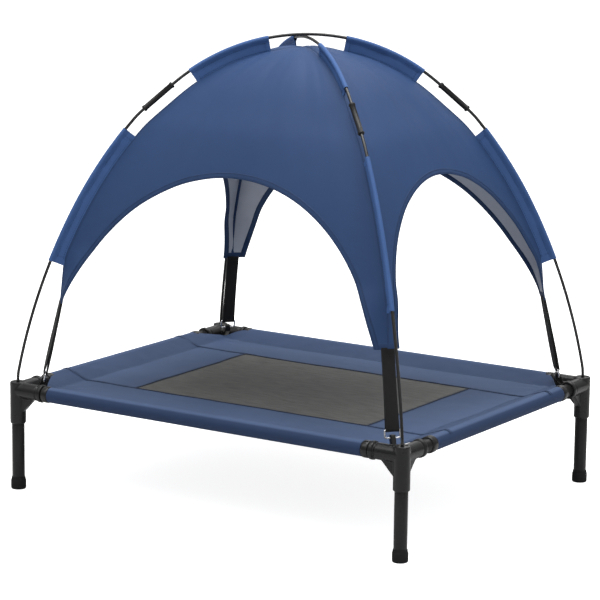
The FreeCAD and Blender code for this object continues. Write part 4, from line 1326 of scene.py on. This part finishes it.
class BED_OT_pole_sleeves(bpy.types.Operator):
    """Sew the flat double sleeves that carry the rods along the ridges"""
    bl_idname = "pet_bed.pole_sleeves"
    bl_label = "Pole Sleeves"

    def execute(self, context):
        ridge = Ridge()
        for corner in CORNERS:
            self.sleeve(corner, "upper", 11, 35, ridge)
            self.sleeve(corner, "lower", 51.5, 68.5, ridge)
        return {"FINISHED"}

    @staticmethod
    def sleeve(corner, part, low, high, ridge):
        line = pole_for(corner)
        out, across = corner_directions(corner)
        name = "pole_sleeve_%s_%s" % (corner, part)
        points, turns = line.stretch(low, high, part == "upper", 0.0, 0.35)
        centres = lifted(out, points)
        outward = np.stack([np.sin(turns), np.cos(turns)], axis=1)
        outward = lifted(out, outward)
        depths = []
        for point, turn in zip(points, turns):
            inward = -np.array([math.sin(turn), math.cos(turn)])
            gap = ridge.points - point
            beside = np.abs(gap[:, 0] * inward[1] - gap[:, 1] * inward[0])
            beside[gap @ inward < 0] = 1.0
            depths.append(float(gap[beside.argmin()] @ inward) / MM)
        depths = np.array(depths)
        depth = 16.5
        # cloth line across the sleeve: height from the rod's axis and offset to the side
        radius = 3.35
        section = [(-depth - 0.5, 0.5), (-(depth - 3), 0.5), (-(depth - 6), 0.5), (-8.6, 0.52),
                   (-7.2, 0.62), (-6.0, 0.95), (-4.9, 1.55), (-3.6, 2.4)]
        for turn in np.linspace(-38, 90, 11)[1:]:
            section.append((radius * math.sin(math.radians(turn)),
                            radius * math.cos(math.radians(turn))))
        section += [(h, -w) for h, w in section[-2::-1]]
        run = run_of(centres)
        end = np.minimum(run, run[-1] - run)
        turned_hem = np.clip(1 - np.maximum(end - 7.5 * MM, 0) / (1.2 * MM), 0, 1) * 0.45
        seed = 3.0 * list(CORNERS).index(corner) + (11 if part == "upper" else 0)
        rows = []
        wobbles = noise_over(run, seed, (1.1, 26, 1, 0.0))
        ripples = noise_over(run, seed, (0.35, 85, 1, 5.0))
        for k, (centre, outer) in enumerate(zip(centres, outward)):
            wobble, ripple = wobbles[k], ripples[k]
            row = []
            for h, w in section:
                web = np.clip((-h - 3.0) / 5.0, 0, 1)
                bow = math.sin(math.pi * np.clip((-h - 3.0) / max(depth - 3.0, 1), 0, 1))
                h -= (depths[k] - depth) * np.clip((-h - 7.0) / (depth - 7.0), 0, 1.05)
                side = w + (turned_hem[k] + ripple * 0.3) * np.sign(w) * web + (wobble + ripple) * bow
                row.append(centre + outer * h * MM + across * side * MM)
            rows.append(row)
        sheet = cloth(name, np.array(rows))
        thicken(sheet, 0.75 * MM, offset=0.0)
        # the fins wear the canopy cloth painted lighter, standing in for the light they catch
        made = piece(sheet, "fin_%s_%s" % (corner, part), "canopy",
                     "sleeve cloth", [name], smooth=50)
        lines = []
        for way in (-1, 1):
            for height in (-7.4 + 0 * depths, 2.2 - depths):
                seam = centres + outward * height[:, None] * MM + across * way * 1.05 * MM
                lines.append((seam, np.broadcast_to(across * way, seam.shape)))
        for k in (int(0.06 * len(run)), int(0.94 * len(run))):
            hem = np.array([centres[k] + outward[k] * h * MM + across * 1.5 * MM
                            for h in np.linspace(-7.5, 1.5 - depths[k], 6)])
            lines.append((hem, np.broadcast_to(across, hem.shape)))
            lines.append((hem - across * 3.0 * MM, np.broadcast_to(-across, hem.shape)))
        sewn = piece(stitches("stitch", lines), "fin_stitches_%s_%s" % (corner, part), "canopy",
                     "sewing thread", smooth=0)
        girth = float(run_of(section)[-1]) * MM


# ------------------------------------------------------------------ sling

class SleeveProfile:
    """Cloth line across a rail's sleeve and strip, with how much each part faces sideways.

    Points are distance inwards from the rail's axis, height, kind of row and painted side shade: how much
    darker the cloth is painted where it faces sideways, standing in for the weaker light there.
    The sleeve is a drop shape: both layers run straight from the tube to the sewn line.
    """

    def __init__(self, inner):
        s, b = sizes("sling"), sizes("frame")
        r, rail, seam = s.sleeve_radius, b.rail_height, s.seam
        self.rail, self.radius, self.seam, self.top = rail, r, seam, s.top_height
        below = s.top_height - rail
        distance = math.hypot(seam, below)
        tilt = math.atan2(below, seam)
        spread = math.acos(r / distance)
        self.high, low = tilt + spread, tilt - spread
        under = s.thickness * 1.05
        points = []
        # the fourth number of each point is its painted shade: half on the lower layer and the upper
        # slope, up to full on the steep faces round the tube, none on the flat cloth
        for share in np.linspace(0, 1, 10)[:-1]:
            points.append(((1 - share) * seam + share * r * math.cos(low),
                           (1 - share) * (s.top_height - under)
                           + share * (rail + r * math.sin(low)), 0, 0.5))
        for turn in np.linspace(low, self.high - 2 * math.pi, 34):
            # painted shade, strongest where the cloth round the tube faces sideways
            side = np.clip((0.88 - math.sin(turn)) / 0.16, 0, 1)
            points.append((r * math.cos(turn), rail + r * math.sin(turn), 0, side))
        start = np.array([r * math.cos(self.high), rail + r * math.sin(self.high)])
        end = np.array([seam, s.top_height])
        self.crest = start[0]
        for share in np.linspace(0, 1, 14)[1:]:
            w, z = start + (end - start) * share
            points.append((w, z, 1, 0.5 if share < 0.97 else 0.25))
        for w in np.linspace(seam + 1.5 * MM, inner, 34):
            points.append((w, s.top_height, 2, 0.0))
        self.points = np.array(points)

    def lift(self, distance):
        """How far the upper layer stands above the flat cloth at a distance from a rail."""
        d = np.asarray(distance, float)
        slope = (self.rail + self.radius * math.sin(self.high) - self.top) / (self.seam - self.crest)
        line = np.clip((self.seam - d) * slope, 0, None)
        crown = self.rail - self.top + np.sqrt(np.maximum(self.radius ** 2 - d ** 2, 0))
        return np.where(d < self.crest, crown + 0.25 * MM, line)


def sling_folds(x, y):
    """Soft folds that run out of the sling's corners."""
    b = sizes("frame")
    u, v = np.abs(x), np.abs(y)
    from_x, from_y = b.half_length - u, b.half_width - v
    reach = 120 * MM
    seed = np.where(x > 0, 5.0, 0.0) + np.where(y > 0, 11.0, 0.0)
    corner = np.exp(-((from_x / reach) ** 2 + (from_y / reach) ** 2))
    fan = np.arctan2(from_y - 60 * MM, from_x - 40 * MM)
    ridges = np.sin(fan * 7.0 + seed) * corner * 0.9 * MM
    flat = noise_over(x, y, (1.0, 7.0, 16.0, 1.5), (0.5, 26.0, 21.0, 4.0))
    edge = np.clip((np.minimum(from_x, from_y) - 16 * MM) / (30 * MM), 0, 1)
    return (ridges + flat * 1.0 * MM) * edge


class BED_OT_sling(bpy.types.Operator):
    """Sew the sling: four strips with rail sleeves, the mesh panel and its bound seams"""
    bl_idname = "pet_bed.sling"
    bl_label = "Sling"

    def execute(self, context):
        s, b = sizes("sling"), sizes("frame")
        for side, (along_x, sign) in SIDES.items():
            self.strip(s, b, side, along_x, sign)
        self.mesh_panel(s)
        self.bindings(s, b)
        return {"FINISHED"}

    @staticmethod
    def strip(s, b, side, along_x, sign):
        across = b.half_width if along_x else b.half_length
        other = b.half_length if along_x else b.half_width
        inner = across - (s.mesh_half_width if along_x else s.mesh_half_length)
        profile = SleeveProfile(inner)
        sleeve = other - (s.sleeve_end_long if along_x else s.sleeve_end_short)
        wide = other - profile.crest
        rows, painted_shades = [], []
        stations = np.linspace(-1, 1, 150)
        for w, z, kind, painted_side_shade in profile.points:
            half = sleeve
            if kind and along_x:
                cut = np.clip((w - profile.crest) / (s.sleeve_end_short - profile.crest), 0, 1)
                half = sleeve + (wide - sleeve) * cut ** 0.6
            elif kind:
                half = s.mesh_half_width
            t = stations * half
            height = np.full_like(t, z)
            shade = np.full_like(t, painted_side_shade)
            level = np.full_like(t, sign * (across - w))
            if kind:
                if along_x:
                    risen = profile.lift(other - np.abs(t))
                    own = z - profile.top
                    height = profile.top + 1.2 * MM * np.log(
                        np.exp(own / (1.2 * MM)) + np.exp(risen / (1.2 * MM)) - 1)
                    # painted shade where the upper layer rises over the rail near the strip's ends
                    shade = np.maximum(shade, 0.5 * np.clip(risen / (1 * MM), 0, 1))
                x, y = (t, level) if along_x else (level, t)
                height = height + sling_folds(x, y)
                if kind == 1:
                    share = (w - profile.crest) / (profile.seam - profile.crest)
                    pucker = noise_over(t, share, (1.0, 42, 1.5, across + sign))
                    height += pucker * share * (1 - share) * 4.5 * MM
            rows.append(np.stack([t, level, height] if along_x else [level, t, height], axis=1))
            painted_shades.append(shade)
        grid, painted_shades = np.array(rows), np.array(painted_shades)
        if (sign < 0) != along_x:
            grid, painted_shades = grid[:, ::-1], painted_shades[:, ::-1]
        sheet = cloth("strip", grid)
        # painted shade kept on the mesh for the sling cloth's finish
        painted_shade_mask = sheet.data.attributes.new("Side", "FLOAT", "POINT")
        painted_shade_mask.data.foreach_set("value", painted_shades.astype(np.float32).ravel())
        thicken(sheet, s.thickness, offset=0.0)
        run = float(run_of(profile.points[:, :2])[-1])
        longest = 2 * max(np.abs(grid[..., 0 if along_x else 1]).max(), 0.01)
        piece(sheet, "sling_cloth_" + side, "frame", "sling cloth",
              ["sling_strip_" + side], smooth=60)
        lines = []
        for w in (s.seam + 0.5 * MM, s.seam + 3.5 * MM):
            reach = (sleeve if along_x else s.mesh_half_width) - 4 * MM
            t = np.linspace(-reach, reach, 160)
            level = np.full_like(t, sign * (across - w))
            x, y = (t, level) if along_x else (level, t)
            z = profile.top + s.thickness / 2 + sling_folds(x, y) + 0.1 * MM
            points = np.stack([x, y, z], axis=1)
            lines.append((points, np.broadcast_to([0.0, 0.0, 1.0], points.shape)))
        piece(stitches("stitch", lines), "sling_stitches_" + side, "frame",
              "bed thread", smooth=0)

    @staticmethod
    def mesh_panel(s):
        x = np.linspace(-1, 1, 150) * (s.mesh_half_length - 0.2 * MM)
        y = np.linspace(-1, 1, 110) * (s.mesh_half_width - 0.2 * MM)
        grid_x, grid_y = np.meshgrid(x, y)
        hang = ((1 - (grid_x / s.mesh_half_length) ** 2) * (1 - (grid_y / s.mesh_half_width) ** 2))
        ripple = noise_over(grid_x, grid_y, (1.0, 9.0, 30.0, 8.0))
        height = s.top_height - 0.1 * MM - s.sag * hang + ripple * 0.5 * MM * np.sqrt(hang)
        height += sling_folds(grid_x, grid_y) * (1 - hang) ** 3
        sheet = cloth("mesh", np.stack([grid_x, grid_y, height], axis=2))
        thicken(sheet, 0.8 * MM)
        piece(sheet, "bed_mesh", "frame", "bed mesh", ["sling_mesh_panel"],
              smooth=60)

    @staticmethod
    def bindings(s, b):
        """Folded dark binding round the mesh and along the seams out to the short rails."""
        profile = SleeveProfile(0.1)
        top = s.top_height + s.thickness / 2
        wide, deep = s.mesh_half_length, s.mesh_half_width
        far = b.half_length + profile.radius * 0.8
        round_mesh, outer = [], []
        for way in (-1, 1):
            for first, last, group in ((-wide, wide, round_mesh), (wide, far, outer),
                                       (-far, -wide, outer)):
                x = np.linspace(first, last, 90)
                y = np.full(90, way * deep)
                z = top + profile.lift(b.half_length - np.abs(x)) + sling_folds(x, y)
                group.append(np.stack([x, y, z + 0.3 * MM * (group is outer)], axis=1))
            y = np.linspace(-deep, deep, 100)
            x = np.full(100, way * wide)
            round_mesh.append(np.stack([x, y, top + sling_folds(x, y)], axis=1))
        lines = []
        # the seams out to the short rails are darker partly as seams and partly as painted fold shadow
        for name, runs, girth, finish in (("sling_bindings", round_mesh, 1.0, "seam binding"),
                                          ("sling_seams", outer, 0.55, "seam cloth")):
            pieces = []
            for points in runs:
                tangent = unit(np.gradient(points, axis=0))
                side = unit(np.cross([0, 0, 1.0], tangent))
                normal = np.cross(tangent, side)
                section = [(-1.5, -0.5), (-1.5, 0.15), (-1.0, 0.5), (0, 0.62), (1.0, 0.5),
                           (1.5, 0.15), (1.5, -0.5), (0, -0.9)]
                grid = [points + side * w * girth * MM + normal * h * girth * MM
                        for w, h in section]
                pieces.append(cloth("binding", np.stack(grid, axis=1), loop=True))
                for w in (-3.6, 3.6):
                    lines.append((points + side * w * MM + normal * 0.05 * MM, normal))
            piece(close_ends(join("binding", pieces)), name, "frame", finish, smooth=60)
        piece(stitches("stitch", lines), "binding_stitches", "frame",
              "bed thread", smooth=0)


# ------------------------------------------------------------------ straps

# points along one ply of a strap, from the canopy's tip to the ring
PLY_POINTS = 46


class BED_OT_straps(bpy.types.Operator):
    """Bend the wire rings and sew the wide elastic loops between them and the canopy"""
    bl_idname = "pet_bed.straps"
    bl_label = "Straps and Rings"

    def execute(self, context):
        for corner in CORNERS:
            self.ring(corner)
            self.strap(corner)
        return {"FINISHED"}

    @staticmethod
    def ring(corner):
        b, c = sizes("frame"), sizes("canopy")
        out, across = (Vector(v) for v in corner_directions(corner))
        half = hub_distance()
        low = out * (half - b.eye_distance) + Vector((0, 0, b.eye_height))
        high = out * (half - c.ring_bar_distance) + Vector((0, 0, c.ring_bar_height))
        up = (high - low).normalized()
        height = (high - low).length
        width, bend = c.ring_width, c.ring_bend
        axis = up.cross(across)
        corners = [(low + across * width / 2, -1, 1), (high + across * width / 2, -1, -1),
                   (high - across * width / 2, 1, -1), (low - across * width / 2, 1, 1)]
        moves = []
        runs = [across, up, -across, -up]
        lengths = [width / 2 - bend, height - 2 * bend, width - 2 * bend, height - 2 * bend]
        for (corner_point, side, rise), run, distance in zip(corners, runs, lengths):
            centre = corner_point + across * side * bend + up * rise * bend
            moves += [(run * distance,), (centre, axis, math.pi / 2, 6)]
        moves.append((across * (width / 2 - bend),))
        ring = bar("ring", low, across, c.wire_radius, moves, sides=12, closed=True)
        piece(ring, "wire_ring_" + corner, "frame", "bright wire",
              ["strap_ring_" + corner], smooth=60)

    @staticmethod
    def strap(corner):
        c = sizes("canopy")
        out, across = corner_directions(corner)
        half = hub_distance()
        thick = c.strap_thickness / MM
        bar_point = np.array([half - c.ring_bar_distance, c.ring_bar_height]) / MM
        tip = np.array([half - c.strap_top_distance, c.strap_top_height]) / MM
        radius = 1.5 + thick / 2
        along = unit(tip - bar_point)
        off = np.array([along[1], -along[0]])
        reach = np.linalg.norm(tip - bar_point)

        def ply(first, last, way):
            points = []
            for share in np.linspace(first, last, PLY_POINTS):
                apart = max(0.0, 1 - share / 0.6) ** 1.1
                spread = thick / 2 + 0.05 + (radius - thick / 2) * apart
                points.append(bar_point + along * reach * share + off * way * spread)
            return points

        line = ply(1, 0, 1)
        for turn in np.linspace(0, math.pi, 15)[1:-1]:
            line.append(bar_point + radius * (off * math.cos(turn) - along * math.sin(turn)))
        line = np.array(line + ply(0, 1, -1)) * MM
        centres = lifted(out, line)
        width = np.linspace(-0.5, 0.5, 15) * c.strap_width
        # the webbing leaves its ring square and turns a little on its way up
        climb = np.clip((centres[:, 2] - bar_point[1] * MM) / (tip[1] - bar_point[1]) / MM, 0, 1)
        turn = math.radians(9) * np.sin(math.pi * climb ** 0.8 * 0.85)
        wide = (across * np.cos(turn)[:, None] - out * np.sin(turn)[:, None])
        grid = centres[:, None, :] + wide[:, None, :] * width[None, :, None]
        sheet = cloth("strap", grid)
        thicken(sheet, c.strap_thickness)
        made = piece(sheet, "webbing_" + corner, None,
                     "elastic webbing", ["elastic_strap_" + corner], smooth=50)
        run = float(run_of(line)[-1])
        tuple(Vector(centres[PLY_POINTS + 7]))
        tuple(Vector(centres[0]))
        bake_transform(made)
        tacks = []
        for share in (0.9, 0.935, 0.97):
            middle = (bar_point + along * reach * share) * MM
            for way in (-1, 1):
                spot, normal = lifted(out, [middle + off * way * (thick + 0.55) * MM, off * way])
                points = np.array([spot + across * w * MM for w in np.linspace(-8.5, 8.5, 12)])
                tacks.append((points, np.broadcast_to(normal, points.shape)))
        piece(stitches("stitch", tacks, pitch=1.5, stitch=1.6, radius=0.3),
              "strap_tacks_" + corner, "canopy", "elastic webbing",
              smooth=0)


# ------------------------------------------------------------------ stage

class BED_OT_stage(bpy.types.Operator):
    """Lay the pale floor, hang the soft lights and set up the camera"""
    bl_idname = "pet_bed.stage"
    bl_label = "Stage"

    def execute(self, context):
        t = sizes("stage")
        self.floor(context, t)
        self.surroundings(context, t)
        for name, place, size, power in (("key", (-1.2, -2.2, 3.6), 2.4, t.key_power),
                                         ("top", (0.3, 0.2, 3.8), 3.0, t.top_power),
                                         ("fill", (3.2, -1.6, 1.9), 2.2, t.fill_power),
                                         ("rim", (-1.0, 3.4, 2.4), 2.2, t.fill_power)):
            deselect()
            bpy.ops.object.light_add(type="AREA", location=place)
            light = context.object
            light.name = name
            light.data.size = size
            light.data.energy = power
            aim = Vector((0, 0, 0.3)) - Vector(place)
            light.rotation_euler = aim.to_track_quat("-Z", "Y").to_euler()
        self.camera(context.scene, t)
        context.scene.view_settings.view_transform = "Standard"
        return {"FINISHED"}

    @staticmethod
    def floor(context, t):
        """Pale floor that also gives off light of its own to the camera alone."""
        deselect()
        bpy.ops.mesh.primitive_plane_add(size=t.floor_size, location=(0, 0, 0))
        floor = settle(context.object)
        floor.name = "floor"
        n, shader, _ = new_finish("studio floor")
        shader.inputs["Base Color"].default_value = (0.6, 0.6, 0.6, 1)
        shader.inputs["Emission Color"].default_value = (1, 1, 1, 1)
        n.link(n.maths("MULTIPLY", n.new("LightPath").outputs["Is Camera Ray"], 0.85),
               shader.inputs["Emission Strength"])
        shader.inputs["Roughness"].default_value = 0.9
        shader.inputs["Specular IOR Level"].default_value = 0.1
        floor.data.materials.append(FINISHES["studio floor"])

    @staticmethod
    def surroundings(context, t):
        """Light that grows brighter towards the top of the sky, and an even white backdrop."""
        world = bpy.data.worlds.new("studio")
        world.use_nodes = True
        context.scene.world = world
        n = Nodes(world.node_tree)
        light = world.node_tree.nodes["Background"]
        light.inputs["Color"].default_value = (1, 1, 1, 1)
        height = n.split(n.new("TexCoord").outputs["Generated"])[2]
        n.link(n.spread(height, -0.1, 0.9, t.sky * 0.16, t.sky * 1.6), light.inputs["Strength"])
        backdrop = n.new("Background")
        backdrop.inputs["Strength"].default_value = 1.2
        mix = n.new("MixShader")
        n.link(n.new("LightPath").outputs["Is Camera Ray"], mix.inputs[0])
        n.link(light.outputs[0], mix.inputs[1])
        n.link(backdrop.outputs[0], mix.inputs[2])
        n.link(mix.outputs[0], world.node_tree.nodes["World Output"].inputs["Surface"])

    @staticmethod
    def camera(scene, t):
        camera = new_object("camera", bpy.data.cameras.new("camera"))
        a, e = t.azimuth, t.elevation
        back_way = Vector((math.sin(a) * math.cos(e), -math.cos(a) * math.cos(e), math.sin(e)))
        right = (-back_way).cross(Vector((0, 0, 1))).normalized()
        up = right.cross(-back_way)
        right, up = (right * math.cos(t.roll) + up * math.sin(t.roll),
                     up * math.cos(t.roll) - right * math.sin(t.roll))
        turn = Matrix((right, up, back_way)).transposed().to_4x4()
        camera.matrix_world = Matrix.Translation(Vector(t.place)) @ turn
        camera.data.sensor_width = 36
        camera.data.lens = t.lens
        camera.data.clip_end = 60
        scene.camera = camera


class BED_PT_panel(bpy.types.Panel):
    """Buttons that build the bed's pieces in order"""
    bl_label = "Pet Bed"
    bl_idname = "BED_PT_panel"
    bl_space_type = "VIEW_3D"
    bl_region_type = "UI"
    bl_category = "Pet Bed"

    def draw(self, context):
        for operator in OPERATORS:
            self.layout.operator(operator.bl_idname)


OPERATORS = (BED_OT_corner_connectors, BED_OT_legs, BED_OT_rails, BED_OT_poles, BED_OT_canopy,
             BED_OT_pole_sleeves, BED_OT_sling, BED_OT_straps, BED_OT_stage)
GROUP_TYPES = {"frame": BedFrameSizes, "sling": SlingSizes, "canopy": CanopySizes,
               "colours": BedColours, "stage": StageSizes}


def register():
    for kind in GROUP_TYPES.values():
        bpy.utils.register_class(kind)
    for name, kind in GROUP_TYPES.items():
        setattr(bpy.types.Scene, "pet_bed_" + name, PointerProperty(type=kind))
    for kind in OPERATORS + (BED_PT_panel,):
        bpy.utils.register_class(kind)


def unregister():
    for kind in (BED_PT_panel,) + OPERATORS[::-1]:
        bpy.utils.unregister_class(kind)
    for name, kind in reversed(GROUP_TYPES.items()):
        delattr(bpy.types.Scene, "pet_bed_" + name)
        bpy.utils.unregister_class(kind)


def main():
    register()
    deselect()
    make_finishes()
    for operator in OPERATORS:
        group, name = operator.bl_idname.split(".")
        getattr(getattr(bpy.ops, group), name)()
    bpy.context.view_layer.update()


if __name__ == "__main__":
    main()
